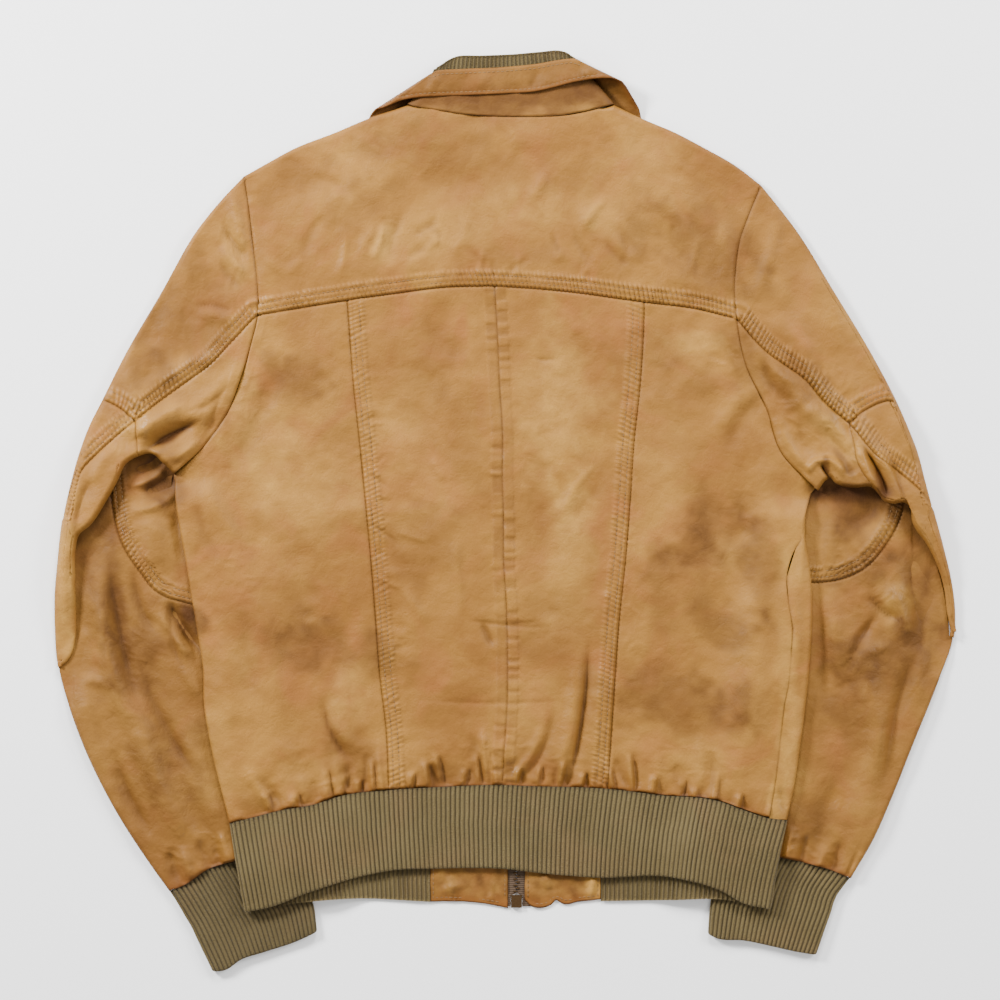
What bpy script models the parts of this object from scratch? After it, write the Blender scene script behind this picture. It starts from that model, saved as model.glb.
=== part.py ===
"""Worn leather blouson laid face down: leather panels, a rib-knit collar, hem and cuffs, and a front zip.

Tables hold millimetres in the plan of the laid garment: +X to its right as seen, +Y towards the collar,
+Z up from the surface that it lies on. Each panel is a grid between its seam lines, lifted to the height
of its layer, and made a wall by Solidify.
"""

import math

import bmesh
import bpy
import numpy as np
from mathutils import Matrix

MM = 0.001

# Walls and clearances
LEATHER = 1.6
RIB = 2.2
TAPE = 0.6
TAB = 2.0
SEAM_BACK = 0.2
CORNER_BACK = 0.8

# Heights of the middle of each layer above the surface
FRONT_Z = 0.8
CUFF_TOP_Z = 4.9
BACK_Z = 5.6
UNDER_LIP_Z = 3.0
FOREARM_Z = 4.8
UPPER_SLEEVE_Z = 8.8
STRIP_Z = 8.0
STRIP_END_DROP = 2.4
OVER_SLEEVE_FRONT = 6.8
OVER_SLEEVE_BACK = 5.8
NECK_FRONT_RISE = 2.0
NECK_BACK_RISE = 2.0
NECK_SIDE_RISE = 2.2
ZIP_RISE = 1.6

# How a fold rounds: plan radius for its half height, the angles of its columns, the gap to what goes on
FOLD_ROUNDNESS = 1.15
OVER_ANGLES = (90, 30, -30, -90)
UNDER_ANGLES = (-90, -30, 30, 90)
HALF_ANGLES = (90, 35)
FOLD_GAP = 0.8
FLAT_SPACING = 0.45
LIP_RADIUS = 2.6
FOLD_STEP = 3.8
SIDE_SEAM_IN = 14.5

# Divisions along the shared seams
N_SHOULDER = 4
N_ARM_UPPER = 5
N_ARM_LOWER = 5
N_BODY = 7
N_YOKE_SIDE = 5
N_YOKE_MIDDLE = 3
N_NECKLINE = 3
N_CAP = 5
N_WEDGE = 3
N_STRIP = 4
N_CURVE = 4
N_HIDDEN = 3
N_FOREARM = 4

LEATHER_TAN = (0.50, 0.31, 0.14)
RIB_KHAKI = (0.23, 0.19, 0.11)
BRASS_DARK = (0.30, 0.20, 0.10)
TAPE_BROWN = (0.12, 0.07, 0.04)

# Outlines and seams of the two sides. Each row: name of the place, x, y
LEFT = {
    "outline": (
        ("neck", -76, 317.5), ("", -104, 307), ("", -150, 290), ("tip", -204, 262), ("", -239, 222),
        ("", -268, 172), ("", -297, 122), ("cross", -314, 88), ("", -333, 45), ("edge", -345, -4),
        ("", -351, -66), ("strip end", -349, -115), ("", -331, -178), ("", -307, -228),
        ("cuff", -262, -296),
    ),
    "armhole": (
        ("tip", -204, 262), ("", -197, 209), ("yoke", -193.5, 153), ("", -206, 106), ("", -219, 74),
        ("", -236, 51), ("armpit", -258, 29.5),
    ),
    "diagonal": (("yoke", -193.5, 153), ("", -230, 115), ("", -260, 93), ("cross", -288, 71)),
    "diagonal end": (("cross", -288, 71), ("", -318, 44), ("edge", -338, -3)),
    "cross": (("edge", -314, 88), ("", -302, 83), ("seam", -288, 71)),
    "short": (("cross", -288, 71), ("lip", -286, 44)),
    "lip": (
        ("armpit", -258, 29.5), ("", -266, 40), ("", -276, 46), ("seam", -286, 44), ("", -296, 38),
        ("", -304, 24), ("", -313, 7), ("", -324, -10), ("", -333, -19), ("", -335, -45), ("", -335, -90),
        ("end", -340, -113),
    ),
    "curve": (
        ("top", -310, 38), ("", -306, 4), ("", -299, -23), ("knee", -283, -49), ("", -265, -66),
        ("", -244, -72), ("inner", -224, -73),
    ),
    "elbow top": (("outer", -310, 38), ("", -292, 53), ("", -275, 56), ("inner", -263, 44)),
    "inner": (
        ("top", -263, 44), ("armpit", -260.7, 28), ("", -260, 8), ("", -253, -8), ("", -240, -32),
        ("curve", -224, -73),
        ("", -214, -120), ("", -205, -170), ("", -192, -215), ("cuff", -172, -262), ("end", -147, -328),
    ),
    "hidden": (("top", -310, 38), ("", -328, 14), ("", -339, -14), ("", -343, -50), ("", -344, -95),
               ("end", -346.5, -118)),
    "cuff top": (("outer", -262, -296), ("", -230, -279), ("inner", -172, -262)),
    "cuff end": (("outer", -228, -359), ("", -218, -357), ("", -189, -344), ("inner", -147, -328)),
    "body": (
        ("armpit", -258.5, 29.5), ("", -253, -16), ("", -244, -69), ("", -236, -122), ("", -234, -150),
        ("", -227, -192), ("hem", -215, -242.5),
    ),
    "princess": (
        ("yoke", -123, 165), ("", -113, 51), ("", -104, -40), ("", -97, -133), ("hem", -90.5, -217),
    ),
    "yoke": (("arm", -193.5, 153), ("", -158, 160), ("princess", -123, 165), ("", -60, 174),
             ("centre", -8, 176)),
    "neckline": (("neck", -76, 317.5), ("", -64, 284), ("", -36, 250), ("centre", 2.6, 236)),
    "hem back": (("side", -215, -242.5), ("", -173, -232), ("", -126, -221), ("princess", -90.5, -217),
                 ("", -45, -214.5), ("centre", -2, -213)),
    "hem front": (("side", -215, -242.5), ("", -130, -244), ("tab", -59, -243.5), ("centre", 2.4, -244)),
    "hem edge": (("side", -203, -312), ("", -130, -304), ("tab", -59, -304.5), ("centre", 2.4, -308)),
    "hem back edge": (("side", -203, -312), ("", -154, -297), ("", -89, -280), ("centre", 3, -279)),
    "sign": 1,
    "armpit y": 28,
}
RIGHT = {
    "outline": (
        ("neck", 85, 317.5), ("", 108, 306), ("", 150, 288), ("tip", 200, 255), ("", 226, 222),
        ("", 257, 172), ("", 287, 122), ("cross", 307, 83.5), ("", 323, 44), ("edge", 333, 4),
        ("", 349, -60), ("strip end", 350, -95), ("", 329, -155), ("", 300, -228), ("cuff", 270, -286),
    ),
    "armhole": (
        ("tip", 200, 255), ("", 184, 209), ("yoke", 181, 150.5), ("", 189, 113), ("", 204, 82),
        ("", 217, 45), ("armpit", 244, 17),
    ),
    "diagonal": (("yoke", 181, 150.5), ("", 205, 124), ("", 236, 101), ("cross", 268, 69)),
    "diagonal end": (("cross", 268, 69), ("", 306, 31), ("edge", 326, 7)),
    "cross": (("edge", 307, 83.5), ("", 289, 84), ("seam", 268, 69)),
    "short": (("cross", 268, 69), ("lip", 286, 20)),
    "lip": (
        ("armpit", 244, 17), ("", 255, 25), ("", 268, 20), ("seam", 286, 20), ("", 297, 9),
        ("", 311, 8), ("", 318, -7), ("", 329, -24), ("", 339, -43), ("", 344, -61), ("", 344, -75),
        ("end", 346, -88),
    ),
    "curve": (
        ("top", 311, 20), ("", 309, -4), ("", 298, -24), ("knee", 284, -40), ("", 269, -50),
        ("", 247, -55), ("inner", 224, -54),
    ),
    "elbow top": (("outer", 311, 20), ("", 294, 30), ("", 268, 37), ("inner", 250, 31)),
    "inner": (
        ("top", 250, 31), ("armpit", 246.7, 15), ("", 243, 7), ("", 238.5, 0), ("", 235.5, -8),
        ("", 231, -22), ("curve", 224, -54),
        ("", 214, -120), ("", 204, -170), ("", 192, -215), ("cuff", 172, -262), ("end", 159, -330),
    ),
    "hidden": (("top", 311, 20), ("", 321, 6), ("", 332, -22), ("", 340, -50), ("", 344, -75),
               ("end", 346.5, -98)),
    "cuff top": (("outer", 270, -286), ("", 226, -273), ("inner", 172, -262)),
    "cuff end": (("outer", 243, -346), ("", 226, -343), ("", 186, -335), ("inner", 159, -330)),
    "body": (
        ("armpit", 244, 17), ("", 235.5, -6), ("", 234.5, -20), ("", 239, -60), ("", 239, -95),
        ("", 233, -160), ("", 229, -190), ("hem", 220, -240),
    ),
    "side seam": (
        ("armpit", 238.8, 14.5), ("", 231.5, -6), ("", 228.5, -26), ("", 219.5, -54), ("", 224.5, -92),
        ("", 221, -137), ("hem", 206, -237),
    ),
    "princess": (
        ("yoke", 108.5, 163.5), ("", 104, 80), ("", 96, -10), ("", 88, -90), ("hem", 80, -216),
    ),
    "yoke": (("arm", 181, 150.5), ("", 150, 158), ("princess", 108.5, 163.5), ("", 48, 172),
             ("centre", -8, 176)),
    "neckline": (("neck", 85, 317.5), ("", 76, 284), ("", 50, 250), ("centre", 15.4, 236)),
    "hem back": (("side", 220, -240), ("", 168, -225.5), ("", 122, -221), ("princess", 80, -216),
                 ("", 40, -214), ("centre", -2, -213)),
    "hem front": (("side", 220, -240), ("", 140, -243), ("tab", 75, -243.5), ("centre", 15.6, -244)),
    "hem edge": (("side", 207, -309.5), ("", 140, -303), ("tab", 75, -304), ("centre", 15.6, -308)),
    "hem back edge": (("side", 207, -309.5), ("", 168, -296), ("", 74, -285), ("centre", 3, -279)),
    "sign": -1,
    "armpit y": 15,
}
SIDES = {"left": LEFT, "right": RIGHT}

CENTRE_BACK = (("yoke", -8, 176), ("", -3, 60), ("", 1.5, -80), ("", 0.5, -160), ("hem", -2, -213))
NECK_SEAM = (
    ("left", -76, 317.5), ("", -40, 311), ("", -10, 308.6), ("", 48, 309.4), ("right", 85, 317.5),
)

# The collar's pieces, in stations round the neck from the left of the zip to its right. Each row: a
# point at the neck seam, one halfway up and one at the top, as x, y, z
COLLAR_STAND = (
    (2.4, 236.6, 3.0, -0.5, 251, 2.9, -3.5, 263.5, 2.8),
    (-36, 250.7, 2.8, -34, 265, 2.8, -31, 279.5, 2.8),
    (-63.5, 284.6, 2.8, -58.5, 295, 2.8, -53, 306, 2.8),
    (-73.2, 314.2, 2.8, -66, 321, 2.8, -61.5, 330.5, 2.8),
    (-75.4, 317.9, 4.6, -69.3, 323.6, 4.6, -64.6, 333, 4.6),
    (-75.4, 318.1, 8.0, -69.3, 323.9, 8.0, -64.6, 333.4, 8.0),
    (-72.6, 317.6, 9.7, -66, 323.8, 9.7, -60.5, 334.5, 9.7),
    (-58, 314.6, 9.7, -54, 327, 9.7, -49.5, 340.2, 9.7),
    (-38, 311.2, 9.3, -37, 327, 9.2, -36, 341.8, 9.1),
    (-12, 309.2, 7.6, -12, 326, 7.6, -12, 343.0, 7.6),
    (20, 308.9, 7.6, 19, 328, 7.6, 18, 345.2, 7.6),
    (48, 310, 9.6, 45, 330, 9.6, 42, 348.2, 9.6),
    (67, 313.6, 9.7, 60.5, 331, 9.7, 53.5, 348.2, 9.7),
    (81.4, 317.6, 9.7, 70.5, 330.5, 9.7, 59.5, 344, 9.7),
    (84.4, 318.1, 8.0, 73.8, 330.8, 8.0, 62.6, 343.6, 8.0),
    (84.4, 317.9, 4.6, 73.8, 330.5, 4.6, 62.6, 343.2, 4.6),
    (81, 314.6, 2.8, 70.5, 327, 2.8, 59.6, 340.4, 2.8),
    (73.8, 281.6, 2.8, 67, 293, 2.8, 59.8, 305.5, 2.8),
    (50.5, 250.8, 2.8, 48, 265, 2.8, 45, 279.5, 2.8),
    (15.6, 236.6, 3.0, 18.5, 251, 2.9, 21.5, 263.5, 2.8),
)
RIB_COLLAR = (
    (3, 238.5, 5.25, 0, 260, 5, -4, 281, 5),
    (-34.5, 252.8, 5, -31, 272, 5, -27, 289, 5),
    (-60.5, 286, 5, -55, 300, 5, -49, 313, 5),
    (-70, 312, 5, -60, 327, 5, -50.2, 342, 5),
    (-72, 314.6, 6.25, -62.4, 329, 6.25, -53.2, 344, 6.25),
    (-70, 314.8, 7.5, -60.5, 329.5, 7.5, -51.2, 345.8, 7.5),
    (-57, 311.8, 7.5, -51, 331, 7.5, -46.5, 350.5, 7.4),
    (-38, 308.9, 6.8, -38, 331, 6.6, -38.2, 354.2, 6.5),
    (-14, 307, 5.3, -16, 331, 5.3, -18, 355.3, 5.3),
    (8, 306.6, 5.3, 7, 331, 5.3, 6, 356, 5.3),
    (32, 307.4, 5.8, 30, 332, 5.7, 27, 357.4, 5.7),
    (50, 308.8, 7.2, 46, 333, 7.2, 42, 358.4, 7.2),
    (66, 311.8, 7.5, 57, 334, 7.5, 48.5, 356.8, 7.5),
    (77.2, 314.7, 7.5, 64.4, 331, 7.5, 53.0, 352, 7.5),
    (79.4, 314.4, 6.25, 66.4, 330, 6.25, 55.6, 350.4, 6.25),
    (77.2, 312, 5, 64.4, 327, 5, 54.0, 347.5, 5),
    (73, 286, 5, 64, 300, 5, 56, 313, 5),
    (49, 252.8, 5, 45, 272, 5, 41, 289, 5),
    (15, 238.5, 5.25, 18, 260, 5, 22, 281, 5),
)
# The collar's fall. Each row: its free edge and its fold over the stand, each x, y, z, and which way
# it goes on round the fold (1 down from above, -1 up from below)
COLLAR_FALL = (
    (-14, 226, 0.8, -4, 266.5, 0.8, -1),
    (-58, 238, 0.8, -29.5, 283, 0.8, -1),
    (-94, 274, 0.8, -50.3, 307, 0.8, -1),
    (-103, 301, 0.8, -54.5, 324, 0.8, -1),
    (-104.2, 309.5, 0.8, -56.6, 338.4, 0.8, -1),
    (-101.5, 312.8, 3.6, -57.9, 341.0, 3.6, -0.5),
    (-97.6, 314.0, 9.4, -57.9, 341.3, 9.4, 0.5),
    (-95.2, 313.6, 12.0, -56.8, 341.2, 12.0, 1),
    (-83, 319.6, 12.2, -53, 343.2, 12.0, 1),
    (-71, 322.8, 12.2, -47, 343.9, 11.9, 1),
    (-56, 324, 12.0, -39, 344.2, 11.6, 1),
    (-30, 325, 10.8, -22, 345, 10.4, 1),
    (2, 326.6, 9.8, 4, 346.5, 9.7, 1),
    (24, 328, 10.8, 26, 348.7, 10.6, 1),
    (40, 331.5, 12.4, 41, 351.3, 11.7, 1),
    (55, 335.2, 14.2, 50, 352.4, 12.0, 1),
    (69, 337.4, 16.2, 55.5, 352.2, 12.4, 1),
    (82.5, 337.2, 17.5, 59.4, 350.4, 12.4, 1),
    (87.8, 335.6, 16.6, 60.8, 350.0, 9.4, 0.5),
    (93, 331.6, 13.2, 60.8, 349.4, 3.6, -0.5),
    (99, 322.8, 8.0, 57.6, 346.4, 0.8, -1),
    (105.4, 310.4, 2.0, 56.4, 329, 0.8, -1),
    (106.4, 301, 0.8, 56.4, 318, 0.8, -1),
    (104, 281, 0.8, 56.9, 307, 0.8, -1),
    (72, 240, 0.8, 42.6, 283, 0.8, -1),
    (32, 226, 0.8, 22.5, 266.5, 0.8, -1),
)
FALL_FOLD_IN = 2.2
FALL_FOLD_DROP = 1.9

# Zip, from its box up. Each row: y, how far the tape's inner edge lies from the zip's middle
ZIP_X = 9
ZIP_TAPE = (
    (-308, 4.6), (-298.7, 4.6), (-298, 2.8), (-240, 2.8), (-120, 2.8), (0, 2.8), (100, 2.8), (160, 2.8),
    (172, 2.8), (180, 2.8), (190, 2.8), (200, 2.8), (212, 2.8), (226, 2.8), (231, 2.8), (235.5, 2.8),
)
TAPE_OUTER = 6.3
CHAIN = (4.8, 1.7)
CHAIN_ENDS = (-297.8, 212.8)
SLIDER_Y = 219
SLIDER_Z = 4.55
PULL_Y = 217
PULL_Z = 1.7
PULL_LENGTH = 30
PULL_WIDTH = 7.2
PULL_DROP = 2.25
ZIP_BOX = ((-4.2, 4.2), (-309, -299.2), (0.1, 2.9))

# Largest folds. Each row: start x, y, end x, y, half width, height (negative for a trough)
FOLDS = (
    (-276, 48, -250, 68, 13, -2.2),
    (-200, 118, -262, 62, 14, 1.2),
    (-290, 118, -262, 60, 12, 1.4),
    (216, 60, 252, 46, 12, -1.6),
    (236, 96, 262, 34, 12, 1.8),
    (290, 42, 303, 18, 9, -1.5),
    (-318, -60, -292, -170, 14, 1.5),
    (-296, -150, -240, -262, 15, 1.2),
    (318, -40, 326, -110, 13, -1.4),
    (262, -90, 292, -200, 15, 1.4),
    (66, -140, 52, -212, 13, 1.5),
    (-70, -165, -80, -214, 12, 1.3),
    (-150, -190, -162, -226, 10, 1.2),
    (-190, -196, -184, -232, 10, -1.0),
    (150, -176, 160, -222, 12, 1.3),
    (190, -60, 196, -190, 16, 1.3),
    (-30, -190, -26, -212, 9, 1.0),
    (-60, 290, -160, 230, 20, 1.0),
    (60, 290, 150, 225, 22, 1.0),
)


def smooth(t):
    t = np.clip(t, 0, 1)
    return t * t * (3 - 2 * t)


def line(table, start=None, end=None, steps=14):
    """A smooth line through a table's places, from one named place to another, as many points."""
    names = [row[0] for row in table]
    points = np.array([row[-2:] for row in table], float)
    reach = np.concatenate([[0], np.cumsum(np.linalg.norm(np.diff(points, axis=0), axis=1))])
    slopes = np.gradient(points, reach, axis=0)
    found = []
    for k in range(len(points) - 1):
        span = reach[k + 1] - reach[k]
        for t in np.arange(steps) / steps:
            found.append(
                (2 * t**3 - 3 * t**2 + 1) * points[k]
                + (t**3 - 2 * t**2 + t) * span * slopes[k]
                + (3 * t**2 - 2 * t**3) * points[k + 1]
                + (t**3 - t**2) * span * slopes[k + 1]
            )
    found.append(points[-1])
    first = names.index(start) * steps if start else 0
    last = names.index(end) * steps if end else len(found) - 1
    if last < first:
        return np.array(found)[last:first + 1][::-1]
    return np.array(found)[first:last + 1]


def reach_of(points):
    return np.concatenate([[0], np.cumsum(np.linalg.norm(np.diff(points[:, :2], axis=0), axis=1))])


def share(points, count):
    """The same line as count equal stretches."""
    reach = reach_of(points)
    wanted = np.linspace(0, reach[-1], count + 1)
    return np.stack([np.interp(wanted, reach, points[:, k]) for k in range(points.shape[1])], axis=1)


def with_side(points, sign):
    """Points with the unit direction that lies to their left (sign 1) or right (-1)."""
    ahead = np.gradient(points, axis=0)
    ahead /= np.linalg.norm(ahead, axis=1)[:, None]
    across = np.stack([-ahead[:, 1], ahead[:, 0]], axis=1) * sign
    return np.concatenate([points, across], axis=1)


def seam(side, name, start, end, count):
    return share(line(SIDES[side][name], start, end), count)


def edge(side, name, start, end, count, flip=1):
    """Evenly spaced points of an outline, with the direction into the panel."""
    table = SIDES[side][name]
    whole = with_side(line(table), SIDES[side]["sign"] * flip)
    names = [row[0] for row in table]
    first, last = sorted((names.index(start) * 14, names.index(end) * 14))
    stretch = share(whole[first:last + 1], count)
    return stretch if names.index(start) * 14 == first else stretch[::-1]


def nudged(points, distance=FOLD_STEP):
    """The line's first point, and one a short way along it, and then the rest."""
    ahead = points[1] - points[0]
    step = points[0] + ahead * distance / np.linalg.norm(ahead[:2])
    return np.vstack([points[:1], step, points[1:]])


def x_on(side, name, y):
    """Where a side's line crosses the height y of the plan."""
    table = line(SIDES[side][name])
    order = np.argsort(table[:, 1])
    return np.interp(y, table[order, 1], table[order, 0])


def beyond(side, name, x, y):
    """How far a point lies on the outer side of a line that runs down the garment."""
    return (x_on(side, name, y) - x) * SIDES[side]["sign"]


def over_sleeve(x, y):
    """1 where the body lies on a forearm or cuff, falling to 0 beyond its hidden edge."""
    weight = 0
    for side, places in SIDES.items():
        inside = smooth(1 + (beyond(side, "inner", x, y) + 14) / 40)
        below = smooth((places["armpit y"] - y) / 22)
        weight = np.maximum(weight, inside * below)
    return weight


def folds(x, y):
    total = 0
    for x0, y0, x1, y1, half_width, height in FOLDS:
        run = np.array([x1 - x0, y1 - y0], float)
        along = ((x - x0) * run[0] + (y - y0) * run[1]) / (run @ run)
        across = np.abs((x - x0) * run[1] - (y - y0) * run[0]) / np.linalg.norm(run)
        ends = smooth((along + 0.15) / 0.4) * smooth((1.15 - along) / 0.4)
        total = total + height * ends * smooth(1 - across / half_width)
    return total


def front_height(x, y):
    neck = smooth((y - 172) / 28) * smooth((145 - np.abs(x - 4)) / 30)
    zip_end = smooth((y - 166) / 18) * smooth((238 - y) / 12) * smooth((42 - np.abs(x - 9)) / 26)
    return FRONT_Z + OVER_SLEEVE_FRONT * over_sleeve(x, y) + NECK_FRONT_RISE * neck + ZIP_RISE * zip_end


def back_height(x, y):
    neck = smooth((y - 150) / 50) * smooth((190 - np.abs(x - 4)) / 80)
    aside = np.abs(x - 4)
    neck_side = smooth((y - 275) / 35) * smooth((aside - 20) / 30) * smooth((150 - aside) / 50)
    over = OVER_SLEEVE_BACK * over_sleeve(x, y)
    return BACK_Z + over + NECK_BACK_RISE * neck + NECK_SIDE_RISE * neck_side + folds(x, y)


def upper_sleeve_height(side):
    def height(x, y):
        away = smooth(beyond(side, "armhole", x, y) / 34)
        lift = smooth((150 - y) / 95) * away
        lower = smooth((-10 - y) / 60) * (UPPER_SLEEVE_Z - STRIP_Z) + smooth((-70 - y) / 45) * STRIP_END_DROP
        return BACK_Z + (UPPER_SLEEVE_Z - BACK_Z) * lift - lower + folds(x, y) * away
    return height


def forearm_height(side):
    lip = line(SIDES[side]["lip"])
    order = np.argsort(lip[:, 0])

    def height(x, y):
        below = np.interp(x, lip[order, 0], lip[order, 1]) - y
        clear = smooth((334 - np.abs(x)) / 26)
        clear = np.maximum(clear, smooth((-118 - y) / 40))
        rise = smooth(below / 48) * clear
        hidden = smooth(beyond(side, "body", x, y) / 12)
        return UNDER_LIP_Z + (FOREARM_Z - UNDER_LIP_Z) * rise + folds(x, y) * rise * hidden
    return height


def sleeve_front_height(x, y):
    return np.full(np.shape(x), FRONT_Z)


def coons(first, last, low, high):
    """A grid between four lines: rows run from low to high, and each goes from first to last."""
    u = (reach_of(low) / reach_of(low)[-1] + reach_of(high) / reach_of(high)[-1]) / 2
    v = (reach_of(first) / reach_of(first)[-1] + reach_of(last) / reach_of(last)[-1]) / 2
    u = u[None, :, None]
    v = v[:, None, None]
    first, last = first[:, None, :2], last[:, None, :2]
    low, high = low[None, :, :2], high[None, :, :2]
    corners = ((1 - u) * (1 - v) * low[:, :1] + u * (1 - v) * low[:, -1:]
               + (1 - u) * v * high[:, :1] + u * v * high[:, -1:])
    return (1 - u) * first + u * last + (1 - v) * low + v * high - corners


def lifted(plan, height):
    return np.concatenate([plan, height(plan[..., 0], plan[..., 1])[..., None]], axis=-1)


def fold_band(outline, rolled, top, bottom, angles=OVER_ANGLES):
    """Columns that carry a panel round a fold, from the first angle to the last.

    outline: points with their inward directions; rolled: 1 where the panel turns round the edge, 0
    where its seam lies on the flat; top and bottom: heights of the layers that the fold joins.
    """
    points, inward = outline[:, :2], outline[:, 2:4]
    rolled = np.asarray(rolled, float)[:, None]
    middle, half = fold_middle(outline, top, bottom)
    radius = half * FOLD_ROUNDNESS
    bands = []
    for angle in angles:
        turn = math.radians(angle)
        plan = points + inward * radius * (1 - math.cos(turn))
        round_it = np.concatenate([plan, middle + half * math.sin(turn)], axis=1)
        back = points + inward * (SEAM_BACK + radius * FLAT_SPACING * math.radians(abs(angle - angles[-1])))
        flat = lifted(back, top if angles[0] > 0 else bottom)
        bands.append(rolled * round_it + (1 - rolled) * flat)
    return np.stack(bands, axis=1)


def fold_middle(outline, top, bottom):
    start = outline[:, :2] + outline[:, 2:4] * 3.0
    high = top(start[:, 0], start[:, 1])[:, None]
    low = bottom(start[:, 0], start[:, 1])[:, None]
    return (high + low) / 2, (high - low) / 2


def under_fold(outline, rolled, top, bottom):
    """Where the lower panel starts, just in from the end of a fold that comes round from above."""
    rolled = np.asarray(rolled, float)[:, None]
    half = fold_middle(outline, top, bottom)[1]
    distance = rolled * (half * FOLD_ROUNDNESS + FOLD_GAP) + (1 - rolled) * SEAM_BACK
    return outline[:, :2] + outline[:, 2:4] * distance


def lip_band(lip, height, lowest):
    """Columns that curl a fold's lip down towards the layer under it."""
    points, inward = lip[:, :2], lip[:, 2:4]
    start = points + inward * LIP_RADIUS
    high = height(start[:, 0], start[:, 1])[:, None]
    drop = high - lowest(points[:, 0], points[:, 1])[:, None] - 1.5
    bands = []
    for angle in (90, 40, 0):
        turn = math.radians(angle)
        plan = points + inward * LIP_RADIUS * (1 - math.cos(turn))
        bands.append(np.concatenate([plan, high - drop * (1 - math.sin(turn))], axis=1))
    return np.stack(bands, axis=1)


def at(points, distances):
    """The places at these distances along a line."""
    reach = reach_of(points)
    return np.stack([np.interp(distances, reach, points[:, k]) for k in range(2)], axis=1)


def drawn_back(grid, sides):
    """Moves each named edge of a grid back from its seam line."""
    grid = grid.copy()
    moves = []
    cuts = {"first": (np.s_[:, 0], np.s_[:, 1]), "last": (np.s_[:, -1], np.s_[:, -2]),
            "low": (np.s_[0], np.s_[1]), "high": (np.s_[-1], np.s_[-2])}
    for side in sides:
        rim, inner = cuts[side]
        ahead = grid[inner] - grid[rim]
        seam_way = np.gradient(grid[rim], axis=0)
        seam_way /= np.linalg.norm(seam_way, axis=1)[:, None]
        ahead -= seam_way * (ahead * seam_way).sum(axis=1)[:, None]
        moves.append((rim, ahead * SEAM_BACK / np.linalg.norm(ahead, axis=1)[:, None]))
    for rim, move in moves:
        grid[rim] += move
    return grid


def material(name, color, roughness, metallic=0.0):
    made = bpy.data.materials.get(name) or bpy.data.materials.new(name)
    made.use_nodes = True
    shader = made.node_tree.nodes["Principled BSDF"]
    shader.inputs["Base Color"].default_value = (*color, 1)
    shader.inputs["Roughness"].default_value = roughness
    shader.inputs["Metallic"].default_value = metallic
    return made


def add_object(name, mesh, surface):
    mesh.materials.append(surface)
    made = bpy.data.objects.new(name, mesh)
    bpy.data.collections["leather_blouson"].objects.link(made)
    return made


def add_sheet(name, grid, wall, surface, ring=False):
    """A cloth wall through a grid of points; a ring joins its last column to its first."""
    rows, columns = grid.shape[:2]
    points = [tuple(point * MM) for point in grid.reshape(-1, 3)]
    faces = []
    for row in range(rows - 1):
        for column in range(columns if ring else columns - 1):
            beside = (column + 1) % columns
            faces.append((row * columns + column, row * columns + beside,
                          (row + 1) * columns + beside, (row + 1) * columns + column))
    mesh = bpy.data.meshes.new(name)
    mesh.from_pydata(points, [], faces)
    made = add_object(name, mesh, surface)
    wall_maker = made.modifiers.new("wall", "SOLIDIFY")
    wall_maker.thickness = wall * MM
    wall_maker.offset = 0
    mesh.shade_smooth()
    return made


def fitted(points, bands, row):
    """A panel's end line, which starts (and ends) where its fold bands leave off."""
    points = points[:, :2].copy()
    points[0] = bands[0][row, 0, :2]
    if len(bands) > 1:
        points[-1] = bands[1][row, 0, :2]
    return points


def aimed(outline, row, target):
    """Turns one row's inward direction towards a place, such as the next one along a seam."""
    ahead = np.asarray(target[:2], float) - outline[row, :2]
    outline[row, 2:4] = ahead / np.linalg.norm(ahead)


def back_yoke(leather):
    yoke_seam = np.vstack([
        seam("left", "yoke", "arm", "princess", N_YOKE_SIDE)[:-1],
        seam("left", "yoke", "princess", "centre", N_YOKE_MIDDLE)[:-1],
        seam("right", "yoke", "centre", "princess", N_YOKE_MIDDLE)[:-1],
        seam("right", "yoke", "princess", "arm", N_YOKE_SIDE),
    ])
    bands = []
    for side, beside in (("left", yoke_seam[1]), ("right", yoke_seam[-2])):
        arm = edge(side, "armhole", "yoke", "tip", N_ARM_UPPER)
        shoulder = nudged(edge(side, "outline", "neck", "tip", N_SHOULDER)[::-1])
        rolled = [0] * (N_ARM_UPPER + 1) + [1] * (N_SHOULDER + 1)
        outline = np.vstack([arm[:-1], shoulder])
        outline[N_ARM_UPPER, 0] += SIDES[side]["sign"] * CORNER_BACK
        aimed(outline, 0, beside)
        bands.append(fold_band(outline, rolled, back_height, front_height))
    neck = share(line(NECK_SEAM), len(yoke_seam) - 1)
    low, high = fitted(yoke_seam, bands, 0), fitted(neck, bands, -1)
    middle = lifted(coons(bands[0][:, 0, :2], bands[1][:, 0, :2], low, high), back_height)
    grid = np.concatenate([bands[0][:, :0:-1], middle, bands[1][:, 1:]], axis=1)
    add_sheet("back_yoke", drawn_back(grid, ("low", "high")), LEATHER, leather)


def body_side(side):
    """A body panel's rows down the armhole and the body's edge, and which of them turn round it."""
    arm = edge(side, "armhole", "yoke", "armpit", N_ARM_LOWER)
    body = nudged(edge(side, "body", "armpit", "hem", N_BODY))
    body[0, :2] += (SIDES[side]["sign"] * CORNER_BACK, -CORNER_BACK / 2)
    return np.vstack([arm[:-1], body]), [0] * (N_ARM_LOWER + 1) + [1] * (N_BODY + 1)


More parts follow.
